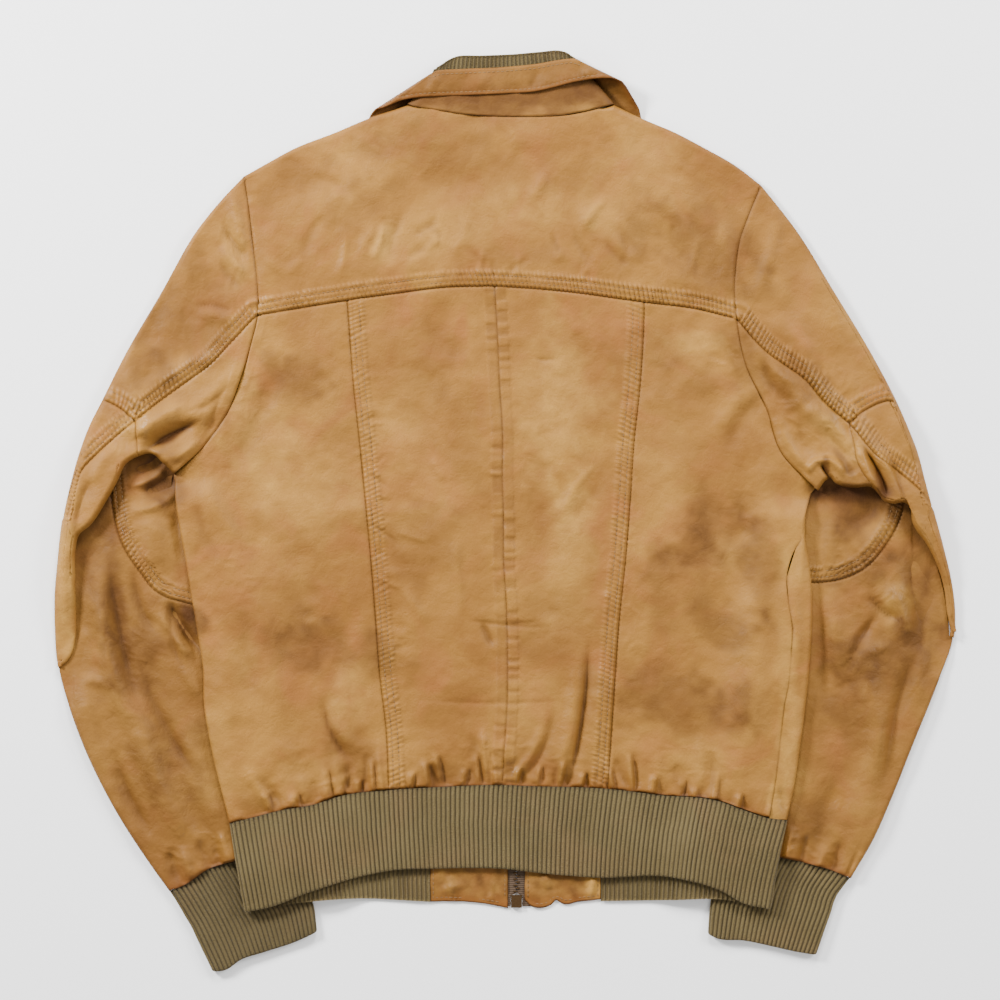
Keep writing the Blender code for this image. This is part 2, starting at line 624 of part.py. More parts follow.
def back_panels(leather):
    rows = N_ARM_LOWER + 1 + N_BODY
    centre = share(line(CENTRE_BACK), rows)
    for side in SIDES:
        princess = seam(side, "princess", "yoke", "hem", rows)
        top = seam(side, "yoke", "princess", "centre", N_YOKE_MIDDLE)
        hem = seam(side, "hem back", "princess", "centre", N_YOKE_MIDDLE)
        grid = lifted(coons(princess, centre, top, hem), back_height)
        grid = drawn_back(grid, ("first", "last", "low", "high"))
        add_sheet(f"back_centre_{side}", grid, LEATHER, leather)

        outline, rolled = body_side(side)
        top = seam(side, "yoke", "arm", "princess", N_YOKE_SIDE)
        hem = seam(side, "hem back", "side", "princess", N_YOKE_SIDE)
        aimed(outline, 0, top[1])
        if side == "left":
            band = fold_band(outline, rolled, back_height, front_height)
            drawn = ("last", "low", "high")
        else:
            band = lifted(side_seam(), back_height)[:, None]
            drawn = ("first", "last", "low", "high")
            across = line(RIGHT["hem back"], "side", "princess")
            hem = at(across, np.linspace(SIDE_SEAM_IN, reach_of(across)[-1], N_YOKE_SIDE + 1))
        top = fitted(top, [band], 0)
        hem = fitted(hem, [band], -1)
        middle = lifted(coons(band[:, 0, :2], princess, top, hem), back_height)
        grid = np.concatenate([band[:, :0:-1], middle], axis=1)
        add_sheet(f"back_side_{side}", drawn_back(grid, drawn), LEATHER, leather)


def side_seam():
    """The right side seam's rows: down the armhole, and on the back where the front comes round."""
    arm = seam("right", "armhole", "yoke", "armpit", N_ARM_LOWER)
    body = nudged(seam("right", "side seam", "armpit", "hem", N_BODY), 1.0)
    body[-1] = at(line(RIGHT["hem back"]), [SIDE_SEAM_IN])[0]
    return np.vstack([arm, body[1:]])


def front_panels(leather):
    for side in SIDES:
        arm_upper = edge(side, "armhole", "tip", "yoke", N_ARM_UPPER)
        outline, rolled = body_side(side)
        outline = np.vstack([arm_upper[:-1], outline])
        rolled = [0] * N_ARM_UPPER + rolled
        if side == "left":
            start = under_fold(outline, rolled, back_height, front_height)
            band = lifted(start, front_height)[:, None]
        else:
            band = fold_band(outline, rolled, back_height, front_height, UNDER_ANGLES)
            strip = band[:, -1].copy()
            flat = 1 - np.array(rolled, float)
            band[:, :, :2] += outline[:, None, 2:4] * 1.5 * flat[:, None, None]
            strip[-len(side_seam()) + N_ARM_LOWER + 1:] = lifted(side_seam(), back_height)[N_ARM_LOWER + 1:]
            strip[:, 0] += 0.3 * np.array(rolled)
            strip[rolled.index(1), 0] += CORNER_BACK + SEAM_BACK
            band = np.concatenate([band, strip[:, None]], axis=1)
        shoulder = edge(side, "outline", "neck", "tip", N_SHOULDER)[::-1]
        shoulder = under_fold(shoulder, [1] * len(shoulder), back_height, front_height)
        top = np.vstack([shoulder, seam(side, "neckline", "neck", "centre", N_NECKLINE)[1:]])
        band[0, :, :2] += top[0] - band[0, -1, :2] + (SIDES[side]["sign"] * SEAM_BACK, 0)
        top = fitted(top, [band], 0)
        hem = np.vstack([seam(side, "hem front", "side", "tab", N_SHOULDER + 1)[:-1],
                         seam(side, "hem front", "tab", "centre", N_NECKLINE - 1)])
        hem = fitted(hem, [band], -1)
        centre = share(np.array([top[-1], hem[-1]]), len(outline) - 1)
        middle = lifted(coons(band[:, 0, :2], centre, top, hem), front_height)
        grid = np.concatenate([band[:, :0:-1], middle], axis=1)
        add_sheet(f"front_{side}", drawn_back(grid, ("low", "high")), LEATHER, leather)


def sleeve_pieces(side, leather):
    upper = upper_sleeve_height(side)
    lower = forearm_height(side)
    sign = SIDES[side]["sign"]

    # Cap: from the armhole to the elbow's cross seam
    crossing, corner = line(SIDES[side]["short"])[[0, -1]]
    outline = edge(side, "outline", "tip", "cross", N_CAP)
    arm = seam(side, "armhole", "tip", "yoke", N_ARM_UPPER)
    cross_seam = seam(side, "cross", "edge", "seam", N_ARM_UPPER)
    aimed(outline, 0, arm[1])
    aimed(outline, -1, cross_seam[1])
    band = fold_band(outline, [1] * (N_CAP + 1), upper, sleeve_front_height)
    arm = fitted(arm, [band], 0)
    cross = fitted(cross_seam, [band], -1)
    diagonal = seam(side, "diagonal", "yoke", "cross", N_CAP)
    middle = lifted(coons(band[:, 0, :2], diagonal, arm, cross), upper)
    grid = np.concatenate([band[:, :0:-1], middle], axis=1)
    add_sheet(f"{side}_sleeve_cap", drawn_back(grid, ("last", "low", "high")), LEATHER, leather)

    # Wedge: outer piece below the cross seam, which runs out at the edge
    outline = edge(side, "outline", "cross", "edge", N_WEDGE)
    aimed(outline, 0, cross_seam[1])
    band = fold_band(outline, [1] * (N_WEDGE + 1), upper, sleeve_front_height)
    cross = fitted(cross_seam, [band], 0)
    diagonal_end = seam(side, "diagonal end", "cross", "edge", N_WEDGE)
    end = share(np.array([band[-1, 0, :2], diagonal_end[-1]]), N_ARM_UPPER)
    middle = lifted(coons(band[:, 0, :2], diagonal_end, cross, end), upper)
    grid = np.concatenate([band[:, :0:-1], middle], axis=1)
    add_sheet(f"{side}_sleeve_wedge", drawn_back(grid, ("last", "low", "high")), LEATHER, leather)

    # Under-arm piece, down to the lip of the elbow's fold
    lip = edge(side, "lip", "armpit", "seam", N_CAP, -1)
    arm = seam(side, "armhole", "yoke", "armpit", N_ARM_LOWER)
    aimed(lip, 0, arm[-2])
    aimed(lip, -1, crossing)
    curl = lip_band(lip, upper, lower).transpose(1, 0, 2)
    short = share(np.array([crossing, corner]), N_ARM_LOWER)
    high = curl[0, :, :2]
    arm = fitted(arm[::-1], [high[:1][None]], 0)[::-1]
    short = fitted(short[::-1], [high[-1:][None]], 0)[::-1]
    middle = lifted(coons(arm, short, diagonal, high), upper)
    grid = np.concatenate([middle, curl[1:]], axis=0)
    add_sheet(f"{side}_sleeve_underarm", drawn_back(grid, ("first", "last", "low")), LEATHER, leather)

    # Elbow fold: the forearm's top stretch, from the short seam down the sleeve's outer edge
    rows = N_WEDGE + 1 + N_STRIP
    lip = edge(side, "lip", "seam", "end", rows, -1)
    aimed(lip, 0, crossing)
    lip[0, 0] -= sign * SEAM_BACK
    curl = lip_band(lip, upper, lower)
    flat = with_side(diagonal_end, sign)
    aimed(flat, 0, corner)
    strip = nudged(edge(side, "outline", "edge", "strip end", N_STRIP), 3.0)
    strip[0, :2] = diagonal_end[-1] + (sign * CORNER_BACK, -CORNER_BACK)
    whole = np.vstack([flat[:-1], strip])
    rolled = [0] * (N_WEDGE + 1) + [1] * (N_STRIP + 1)
    band = fold_band(whole, rolled, upper, sleeve_front_height)
    short = share(np.array([band[0, 0, :2], curl[0, 0, :2]]), 3)
    end = share(np.array([band[-1, 0, :2], curl[-1, 0, :2]]), 3)
    middle = lifted(coons(band[:, 0, :2], curl[:, 0, :2], short, end), upper)
    grid = np.concatenate([band[:, :0:-1], middle, curl[:, 1:]], axis=1)
    add_sheet(f"{side}_sleeve_fold", drawn_back(grid, ("low", "high")), LEATHER, leather)

    # Forearm: from the curved seam to the cuff
    hidden = with_side(seam(side, "hidden", "top", "end", N_HIDDEN), sign)
    outer = nudged(edge(side, "outline", "strip end", "cuff", N_FOREARM), 9)[1:]
    outline = np.vstack([hidden, outer])
    rolled = [0] * (N_HIDDEN + 1) + [1] * (N_FOREARM + 1)
    first = fold_band(outline, rolled, lower, sleeve_front_height)
    curve_line = line(SIDES[side]["curve"])
    knee = reach_of(line(SIDES[side]["curve"], None, "knee"))[-1]
    steps = np.linspace(0, knee, len(OVER_ANGLES) + N_CURVE)
    outer_curve = at(curve_line, steps)
    first[0, ::-1] = lifted(outer_curve[:len(OVER_ANGLES)], lower)
    low_curve = seam(side, "curve", "knee", "inner", N_CURVE)
    inner_low = edge(side, "inner", "curve", "cuff", len(outline) - 1, -1)
    last = fold_band(inner_low, [1] * len(outline), lower, sleeve_front_height, HALF_ANGLES)
    curve = np.vstack([outer_curve[len(OVER_ANGLES) - 1:-1], low_curve])
    curve = fitted(curve[::-1], [last], 0)[::-1]
    cuff = fitted(seam(side, "cuff top", "outer", "inner", len(curve) - 1), [first, last], -1)
    middle = lifted(coons(first[:, 0, :2], last[:, 0, :2], curve, cuff), lower)
    grid = np.concatenate([first[:, :0:-1], middle, last[:, 1:]], axis=1)
    add_sheet(f"{side}_forearm", drawn_back(grid, ("low", "high")), LEATHER, leather)

    # Elbow panel: from under the lip to its curved seam
    inner_top = edge(side, "inner", "top", "curve", len(outer_curve) - 1, -1)
    band = fold_band(inner_top, [1] * len(inner_top), lower, sleeve_front_height, HALF_ANGLES)
    low_curve = curve[-N_CURVE - 1:]
    top = fitted(seam(side, "elbow top", "outer", "inner", N_CURVE)[::-1], [band], 0)[::-1]
    middle = lifted(coons(outer_curve, band[:, 0, :2], top, low_curve), lower)
    grid = np.concatenate([middle, band[:, 1:]], axis=1)
    add_sheet(f"{side}_elbow_panel", drawn_back(grid, ("first", "high")), LEATHER, leather)

    # Front of the sleeve, flat on the surface
    outer = np.vstack([
        edge(side, "outline", "tip", "cross", N_CAP)[:-1],
        edge(side, "outline", "cross", "edge", N_WEDGE)[:-1],
        nudged(edge(side, "outline", "edge", "strip end", N_STRIP))[:-1],
        nudged(edge(side, "outline", "strip end", "cuff", N_FOREARM), 9),
    ])
    first = under_fold(outer, [1] * len(outer), layer_above(upper, lower), sleeve_front_height)
    rows = len(outer) - 1
    inner = np.vstack([
        seam(side, "armhole", "yoke", "armpit", N_ARM_LOWER)[:-1],
        seam(side, "inner", "armpit", "curve", N_CURVE)[:-1],
        seam(side, "inner", "curve", "cuff", rows - N_ARM_LOWER - N_CURVE),
    ])
    inner[N_ARM_LOWER:, 0] += sign * -1.5
    arm = seam(side, "armhole", "tip", "yoke", N_ARM_UPPER)
    arm[0] = first[0]
    cuff = seam(side, "cuff top", "outer", "inner", N_ARM_UPPER)
    cuff[0], cuff[-1] = first[-1], inner[-1]
    grid = lifted(coons(first, inner, arm, cuff), sleeve_front_height)
    add_sheet(f"{side}_sleeve_front", drawn_back(grid, ("low", "last", "high")), LEATHER, leather)


def layer_above(upper, lower):
    """The sleeve's top layer: the upper stretch down to the end of the elbow's fold, then the forearm."""
    def height(x, y):
        return np.where(y > -118, upper(x, y), lower(x, y))
    return height


def cuffs(rib):
    across = 4
    for side in SIDES:
        ends = [line(SIDES[side][name]) for name in ("cuff top", "cuff end")]
        lines = [share(end, 28) for end in ends]
        lines.insert(1, (lines[0] + lines[1]) / 2)
        half = (CUFF_TOP_Z - RIB / 2) / 2
        middle = CUFF_TOP_Z - half
        radius = half * FOLD_ROUNDNESS
        rows = []
        for points in lines:
            length = reach_of(points)[-1]
            flat = radius + (length - 2 * radius) * np.arange(across + 1) / across
            turns = np.radians(OVER_ANGLES[1:-1])
            reach = np.concatenate([flat, length - radius * (1 - np.cos(turns)), flat[::-1],
                                    radius * (1 - np.cos(turns))])
            heights = np.concatenate([np.full(across + 1, CUFF_TOP_Z), middle + half * np.sin(turns),
                                      np.full(across + 1, RIB / 2), middle - half * np.sin(turns)])
            rows.append(np.c_[at(points, reach), heights])
        add_sheet(f"{side}_cuff", drawn_back(np.stack(rows), ("low",)), RIB, rib, ring=True)


def collar(leather, rib):
    for name, table, wall, surface in (
        ("collar_stand", COLLAR_STAND, LEATHER, leather), ("rib_collar", RIB_COLLAR, RIB, rib),
    ):
        grid = np.array(table, float).reshape(len(table), 3, 3).transpose(1, 0, 2)
        add_sheet(name, grid, wall, surface)
    table = np.array(COLLAR_FALL, float)
    free, top, way = table[:, :3], table[:, 3:6], table[:, 6:]
    inward = free - top
    inward /= np.linalg.norm(inward[:, :2], axis=1)[:, None]
    start = top + inward * FALL_FOLD_IN
    folded = top.copy()
    folded[:, 2:] -= FALL_FOLD_DROP * way
    middle = start + (free - start) * (0.62, 0.62, 0.1)
    add_sheet("collar_fall", np.stack([free, middle, start, folded]), LEATHER, leather)


def hem_end(side, count):
    """Top and bottom points of the hem band's stretch across one front, from its tab to the fold."""
    top = seam(side, "hem front", "side", "tab", count)[::-1]
    low = seam(side, "hem edge", "side", "tab", count)[::-1]
    return top[:-1], low[:-1]


def hem(leather, rib):
    lift = (RIB - LEATHER) / 2

    def front(x, y):
        return front_height(x, y) + lift

    def back(x, y):
        return back_height(x, y) + lift

    tops, lows = [], []
    for side in SIDES:
        top, low = hem_end(side, 5)
        sign = SIDES[side]["sign"]
        corner = [np.array([[*line(SIDES[side][name])[0], sign, 0]]) for name in ("hem back", "hem edge")]
        rolls = [fold_band(place, [1], back, front, UNDER_ANGLES)[0] for place in corner]
        tops.append(np.vstack([lifted(top, front), rolls[0]]))
        lows.append(np.vstack([lifted(low, front), rolls[1]]))
    top_back = np.vstack([line(LEFT["hem back"])[:-1], line(RIGHT["hem back"])[::-1]])
    low_back = np.vstack([line(LEFT["hem back edge"])[:-1], line(RIGHT["hem back edge"])[::-1]])
    rows = []
    for ends, across in ((tops, top_back), (lows, low_back)):
        middle = lifted(share(across, 14)[1:-1], back)
        rows.append(np.vstack([ends[0], middle, ends[1][::-1]]))
    halfway = (rows[0] + rows[1]) / 2
    grid = drawn_back(np.stack([rows[0], halfway, rows[1]]), ("low", "first", "last"))
    add_sheet("hem_rib", grid, RIB, rib)

    for side in SIDES:
        top = seam(side, "hem front", "tab", "centre", 2)
        low = seam(side, "hem edge", "tab", "centre", 2)
        grid = np.stack([top, (top + low) / 2, low])
        heights = front_height(grid[..., 0], grid[..., 1]) + (TAB - LEATHER) / 2
        grid = drawn_back(np.concatenate([grid, heights[..., None]], axis=-1), ("low", "first"))
        add_sheet(f"hem_tab_{side}", grid, TAB, leather)


def cube(x, y, z):
    """A box between pairs of x, y and z."""
    block = bmesh.new()
    low, high = (np.array([pair[k] for pair in (x, y, z)]) * MM for k in (0, 1))
    place = Matrix.Translation((low + high) / 2) @ Matrix.Diagonal((*(high - low), 1))
    bmesh.ops.create_cube(block, size=1, matrix=place)
    return block


def rod(radius, half_length):
    """A round rod through the origin along X."""
    block = bmesh.new()
    bmesh.ops.create_cone(block, cap_ends=True, segments=16, radius1=radius * MM, radius2=radius * MM,
                          depth=2 * half_length * MM, matrix=Matrix.Rotation(math.pi / 2, 4, "Y"))
    return block


def plate(outline, low, high):
    """A flat plate with this outline, between two heights."""
    block = bmesh.new()
    face = block.faces.new([block.verts.new((x * MM, y * MM, low * MM)) for x, y in outline])
    top = bmesh.ops.extrude_face_region(block, geom=[face])["geom"]
    risen = [part for part in top if isinstance(part, bmesh.types.BMVert)]
    bmesh.ops.translate(block, verts=risen, vec=(0, 0, (high - low) * MM))
    bmesh.ops.recalc_face_normals(block, faces=block.faces)
    return block


def add_block(name, pieces, surface):
    """Boxes, rods and plates joined into one hard piece, the first one carrying the rest."""
    made = None
    for block in pieces:
        mesh = bpy.data.meshes.new(name)
        block.to_mesh(mesh)
        block.free()
        if made is None:
            made = add_object(name, mesh, surface)
            continue
        tool = bpy.data.objects.new(f"{name}_more", mesh)
        bpy.data.collections["cutters"].objects.link(tool)
        tool.parent = made
        tool.display_type = "WIRE"
        tool.hide_render = True
        join = made.modifiers.new("join", "BOOLEAN")
        join.operation = "UNION"
        join.solver = "EXACT"
        join.object = tool
    return made


def zip_fastener(tape, brass):
    table = np.array(ZIP_TAPE, float)
    for side in SIDES:
        way = -SIDES[side]["sign"]
        inner = np.c_[ZIP_X + way * table[:, 1], table[:, 0]]
        outer = np.c_[np.full(len(table), ZIP_X + way * TAPE_OUTER), table[:, 0]]
        grid = np.stack([inner, outer], axis=1)
        heights = front_height(np.full(len(table), ZIP_X), table[:, 0]) + 0.15
        heights = np.repeat(heights[:, None, None], 2, axis=1)
        add_sheet(f"zip_tape_{side}", np.concatenate([grid, heights], axis=-1), TAPE, tape)

    stops = np.array([y for y, _ in ZIP_TAPE if CHAIN_ENDS[0] < y < CHAIN_ENDS[1]])
    stops = np.concatenate([[CHAIN_ENDS[0]], stops, [CHAIN_ENDS[1]]])
    heights = front_height(np.full(len(stops), ZIP_X), stops) + 0.15
    half = CHAIN[0] / 2
    sides = [np.c_[np.full(len(stops), ZIP_X + way * half), stops, heights] for way in (-1, 1)]
    grid = np.stack(sides, axis=1)
    add_sheet("zip_chain", grid, CHAIN[1], brass)

    bottom = add_block("zip_box", [cube(*ZIP_BOX)], brass)
    bottom.location.x = ZIP_X * MM

    z = SLIDER_Z
    outline = [(-2.6, -5.5), (2.6, -5.5), (3.8, 1), (3.4, 5.5), (-3.4, 5.5), (-3.8, 1)]
    slider = add_block("zip_slider", [
        plate(outline, z - 1.9, z - 0.95),
        plate(outline, z + 0.95, z + 1.9),
        cube((-1, 1), (0.5, 5), (z - 1.2, z + 1.2)),
        cube((-1, 1), (-4, 4.5), (0, 0.8)),
        cube((-1, 1), (-4, -3.1), (0.4, z - 1.5)),
        cube((-1, 1), (3.6, 4.5), (0.4, z - 1.5)),
    ], brass)
    slider.location = (ZIP_X * MM, SLIDER_Y * MM, 0)

    # The pull hangs on its pin, and lies down to the surface at its free end
    half = PULL_WIDTH / 2
    leaf = [(-2.9, -6.5), (-2.9, -5), (2.9, -5), (2.9, -6.5), (half, -12), (half, 4 - PULL_LENGTH),
            (half - 1.4, -PULL_LENGTH), (1.4 - half, -PULL_LENGTH), (-half, 4 - PULL_LENGTH), (-half, -12)]
    level = (-0.5, 0.5)
    pull = add_block("zip_pull", [
        plate(leaf, *level),
        cube((-2.9, -1.6), (-5.5, 0.4), level),
        cube((1.6, 2.9), (-5.5, 0.4), level),
        rod(0.6, 2.2),
    ], brass)
    pull.location = (ZIP_X * MM, PULL_Y * MM, PULL_Z * MM)
    pull.rotation_euler.x = math.radians(PULL_DROP)


clear_first = list(bpy.data.objects)
for old in clear_first:
    bpy.data.objects.remove(old, do_unlink=True)
collection = bpy.data.collections.new("leather_blouson")
bpy.context.scene.collection.children.link(collection)
cutters = bpy.data.collections.new("cutters")
bpy.context.scene.collection.children.link(cutters)

tan = material("leather", LEATHER_TAN, 0.45)
khaki = material("rib_knit", RIB_KHAKI, 0.9)
back_yoke(tan)
back_panels(tan)
front_panels(tan)
for side_name in SIDES:
    sleeve_pieces(side_name, tan)
cuffs(khaki)
collar(tan, khaki)
hem(tan, khaki)
zip_fastener(material("zip_tape", TAPE_BROWN, 0.9), material("brass", BRASS_DARK, 0.4, 1.0))
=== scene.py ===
"""A worn leather blouson laid face down: its panels, seams, folds, knitted ribs, zip and stitches."""
import math

import bmesh
import bpy
import numpy as np
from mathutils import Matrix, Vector


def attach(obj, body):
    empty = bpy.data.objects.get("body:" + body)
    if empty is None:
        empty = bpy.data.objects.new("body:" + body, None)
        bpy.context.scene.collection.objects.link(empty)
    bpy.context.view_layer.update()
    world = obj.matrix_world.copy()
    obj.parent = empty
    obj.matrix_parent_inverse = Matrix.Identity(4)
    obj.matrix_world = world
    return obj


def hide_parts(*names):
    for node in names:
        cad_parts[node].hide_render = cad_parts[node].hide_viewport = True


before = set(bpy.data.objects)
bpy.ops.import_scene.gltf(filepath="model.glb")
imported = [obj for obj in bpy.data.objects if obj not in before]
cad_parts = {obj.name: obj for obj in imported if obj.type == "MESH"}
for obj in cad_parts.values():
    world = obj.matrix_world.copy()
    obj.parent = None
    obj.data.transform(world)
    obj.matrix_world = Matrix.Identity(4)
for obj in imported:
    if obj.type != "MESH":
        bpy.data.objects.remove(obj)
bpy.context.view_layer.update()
MM = 0.001

# ----------------------------------------
# Floor, light and camera
# A white board under the jacket, soft boxes beside and beyond its shoulders, a
# weak wide one past its hem, and a long lens that looks straight down on it.
# ----------------------------------------
FLOOR_WHITE = (0.96, 0.96, 0.96)
FLOOR_SIZE = 14
FLOOR_DROP = 0.0003
CAMERA_HEIGHT = 4.0
VIEW_WIDTH = 0.780
VIEW_CENTRE = (-0.0039, 0.0094)
JACKET_MIDDLE = 0.008
SENSOR = 36


def new_material(name):
    material = bpy.data.materials.new(name)
    material.use_nodes = True
    return material, material.node_tree, material.node_tree.nodes["Principled BSDF"]


def soft_box(name, place, power, width):
    lamp = bpy.data.lights.new(name, "AREA")
    lamp.energy = power
    lamp.size = width
    holder = bpy.data.objects.new(name, lamp)
    holder.location = place
    holder.rotation_euler = (-Vector(place)).to_track_quat("-Z", "Y").to_euler()
    bpy.context.scene.collection.objects.link(holder)


board, _, board_shader = new_material("white_board")
board_shader.inputs["Base Color"].default_value = (*FLOOR_WHITE, 1)
board_shader.inputs["Roughness"].default_value = 0.9
bpy.ops.mesh.primitive_plane_add(size=FLOOR_SIZE, location=(0, 0, -FLOOR_DROP))
floor = bpy.context.object
floor.name = "floor"
floor.data.materials.append(board)

soft_box("box_left", (-1.5, 1.0, 1.05), 102, 0.45)
soft_box("box_right", (1.55, 0.8, 1.1), 41, 0.6)
soft_box("box_top", (0.1, 1.8, 1.3), 58, 0.6)
soft_box("box_low", (0.5, -1.9, 1.7), 20, 1.2)

world = bpy.data.worlds.new("studio")
bpy.context.scene.world = world
world.use_nodes = True
sky = world.node_tree.nodes["Background"].inputs
sky["Color"].default_value = (1, 1, 1, 1)
sky["Strength"].default_value = 0.6

lens = bpy.data.cameras.new("camera")
lens.sensor_width = SENSOR
lens.lens = SENSOR * CAMERA_HEIGHT / VIEW_WIDTH
camera = bpy.data.objects.new("camera", lens)
camera.location = (*VIEW_CENTRE, CAMERA_HEIGHT + JACKET_MIDDLE)
bpy.context.scene.collection.objects.link(camera)
bpy.context.scene.camera = camera

# ----------------------------------------
# Back yoke
# One piece of hide over both shoulders, folded at their top edge down to the
# fronts. Its lower edge is turned in and held by two rows of stitches.
# ----------------------------------------
LEATHER_WALL = 1.2
# Heights of the cloth over the board, and how much higher it lies where something is under it
FRONT_Z = 0.8
FRONT_RISE = {"sleeve": 6.8, "neck": 2.0, "zip": 1.6}
BACK_Z = 5.6
BACK_RISE = {"sleeve": 7.4, "neck": 3.0, "neck_side": 2.2}
SHOULDER = {
    "left": ((-76, 317.5), (-104, 308), (-133, 296), (-164, 284), (-188, 271), (-204, 262)),
    "right": ((85, 317.5), (108, 306.5), (133, 296), (156, 284), (179, 271), (200, 255)),
}
ARMHOLE = {
    "left": ((-204, 262), (-200, 235), (-197, 209), (-193.5, 179), (-193.5, 153.5), (-199, 130), (-206, 106),
             (-219, 74), (-236, 51), (-258, 30)),
    "right": ((200, 255), (190, 231), (182.5, 209), (179, 179), (181, 150.5), (189, 113), (204, 82),
              (217, 45), (231, 30), (244, 17)),
}
YOKE_SEAM = ((-193.5, 153.5), (-165, 158.5), (-137, 163), (-90, 170), (-44, 175.5), (-8, 176), (48, 172),
             (108, 164), (152, 158), (181, 150.5))
NECK_SEAM = ((-76, 317.5), (-68.6, 316.7), (-40, 311.5), (-10, 308.6), (20, 308.3), (48, 309.4), (85, 317.5))
# Where the forearms' inner edges run under the body
SLEEVE_INNER = {
    "left": ((-263, 44), (-260.7, 28), (-260, 8), (-253, -8), (-240, -32), (-224, -73), (-214, -120),
             (-205, -170), (-192, -215), (-172, -262), (-147, -328)),
    "right": ((250, 31), (246.7, 15), (243, 7), (238.5, 0), (235.5, -8), (231, -22), (224, -54), (214, -120),
              (204, -170), (192, -215), (172, -262), (159, -330)),
}
ARMPIT_Y = {"left": 28, "right": 15}
SIGN = {"left": 1, "right": -1}
OVER = (90, 70, 50, 30, 10, -10, -30, -50, -70, -90)
UNDER = OVER[::-1]
HALF = (90, 65, 40, 10)


def smooth(t):
    t = np.clip(t, 0, 1)
    return t * t * (3 - 2 * t)


def through(places, reach, counts):
    """A smooth line through places set at these reaches, with so many points to each stretch."""
    slopes = np.gradient(places, reach, axis=0)
    found = []
    for k, count in enumerate(counts):
        span = reach[k + 1] - reach[k]
        t = (np.arange(count) / count)[:, None]
        found.append((2 * t**3 - 3 * t**2 + 1) * places[k] + (t**3 - 2 * t**2 + t) * span * slopes[k]
                     + (3 * t**2 - 2 * t**3) * places[k + 1] + (t**3 - t**2) * span * slopes[k + 1])
    return np.vstack(found + [places[-1:]])


def curve(places, step=1.2):
    """A smooth line through given places, as points about one step apart."""
    places = np.array(places, float)
    reach = reach_of(places)
    return through(places, reach, [max(2, int(span / step)) for span in np.diff(reach)])


def reach_of(points):
    return np.concatenate([[0], np.cumsum(np.linalg.norm(np.diff(points, axis=0), axis=1))])


def near(line, place):
    return int(np.argmin(np.linalg.norm(line[:, :2] - np.asarray(place)[:2], axis=1)))


def stretch(line, start, end):
    """The part of a line from near one place to near another, in that direction."""
    first, last = near(line, start), near(line, end)
    part = line[min(first, last):max(first, last) + 1]
    return part if first <= last else part[::-1]


def trimmed(line, start=None, end=None):
    """A line that starts or ends exactly at a place beside it."""
    first = 0 if start is None else min(near(line, start), len(line) - 3)
    last = len(line) - 1 if end is None else max(near(line, end), first + 2)
    line = line[first:last + 1].copy()
    if start is not None:
        line[0] = start
    if end is not None:
        line[-1] = end
    return line


def straight(start, end):
    return spaced(np.array([start, end], float), np.linspace(0, 1, 40))


def spaced(line, shares):
    reach = reach_of(line)
    wanted = np.asarray(shares) * reach[-1]
    return np.stack([np.interp(wanted, reach, line[:, k]) for k in range(line.shape[1])], axis=1)


def spread(length, step, fine, margin=18):
    """Shares of a length whose cells are fine near both ends and one step long between."""
    t = np.linspace(0, length, 400)
    size = fine + (step - fine) * smooth(np.minimum(t, length - t) / margin - 0.6)
    cells = np.concatenate([[0], np.cumsum(np.diff(t) / ((size[1:] + size[:-1]) / 2))])
    count = max(2, round(cells[-1]))
    return np.interp(np.linspace(0, cells[-1], count + 1), cells, t) / length


def inward(points, toward):
    """Unit directions across a line, towards the side where a place lies."""
    ahead = np.gradient(points, axis=0)
    ahead /= np.linalg.norm(ahead, axis=1)[:, None]
    across = np.stack([-ahead[:, 1], ahead[:, 0]], axis=1)
    middle = len(points) // 2
    return across * np.sign(across[middle] @ (np.asarray(toward, float) - points[middle]))


def x_on(table, y):
    line = np.array(table, float)
    order = np.argsort(line[:, 1])
    return np.interp(y, line[order, 1], line[order, 0])


def over_sleeve(x, y):
    """1 where the body lies on a forearm or cuff, falling to 0 beyond its hidden edge."""
    weight = 0
    for side in SIGN:
        beyond = (x_on(SLEEVE_INNER[side], y) - x) * SIGN[side]
        inside = smooth(1 + (beyond + 14) / 40)
        weight = np.maximum(weight, inside * smooth((ARMPIT_Y[side] - y) / 22))
    return weight


def front_layer(x, y):
    """The height of the fronts: over the forearms, the collar's fall and the top of the zip."""
    neck = smooth((y - 172) / 28) * smooth((145 - np.abs(x - 4)) / 30)
    zip_end = smooth((y - 166) / 18) * smooth((238 - y) / 12) * smooth((42 - np.abs(x - 9)) / 26)
    over_arm = FRONT_RISE["sleeve"] * over_sleeve(x, y)
    return FRONT_Z + over_arm + FRONT_RISE["neck"] * neck + FRONT_RISE["zip"] * zip_end


def back_layer(x, y):
    """The height of the back: over the forearms, the front's neck and the ends of the collar."""
    aside = np.abs(x - 4)
    neck = BACK_RISE["neck"] * smooth((y - 150) / 50) * smooth((190 - aside) / 80)
    neck_side = smooth((y - 275) / 35) * smooth((aside - 20) / 30) * smooth((150 - aside) / 50)
    return BACK_Z + BACK_RISE["sleeve"] * over_sleeve(x, y) + neck + BACK_RISE["neck_side"] * neck_side


def coons(first, last, low, high):
    """A grid between four lines: rows run from low to high, and each goes from first to last."""
    u = (reach_of(low) / reach_of(low)[-1] + reach_of(high) / reach_of(high)[-1]) / 2
    v = (reach_of(first) / reach_of(first)[-1] + reach_of(last) / reach_of(last)[-1]) / 2
    u, v = u[None, :, None], v[:, None, None]
    first, last, low, high = first[:, None], last[:, None], low[None], high[None]
    corners = ((1 - u) * (1 - v) * low[:, :1] + u * (1 - v) * low[:, -1:]
               + (1 - u) * v * high[:, :1] + u * v * high[:, -1:])
    return (1 - u) * first + u * last + (1 - v) * low + v * high - corners


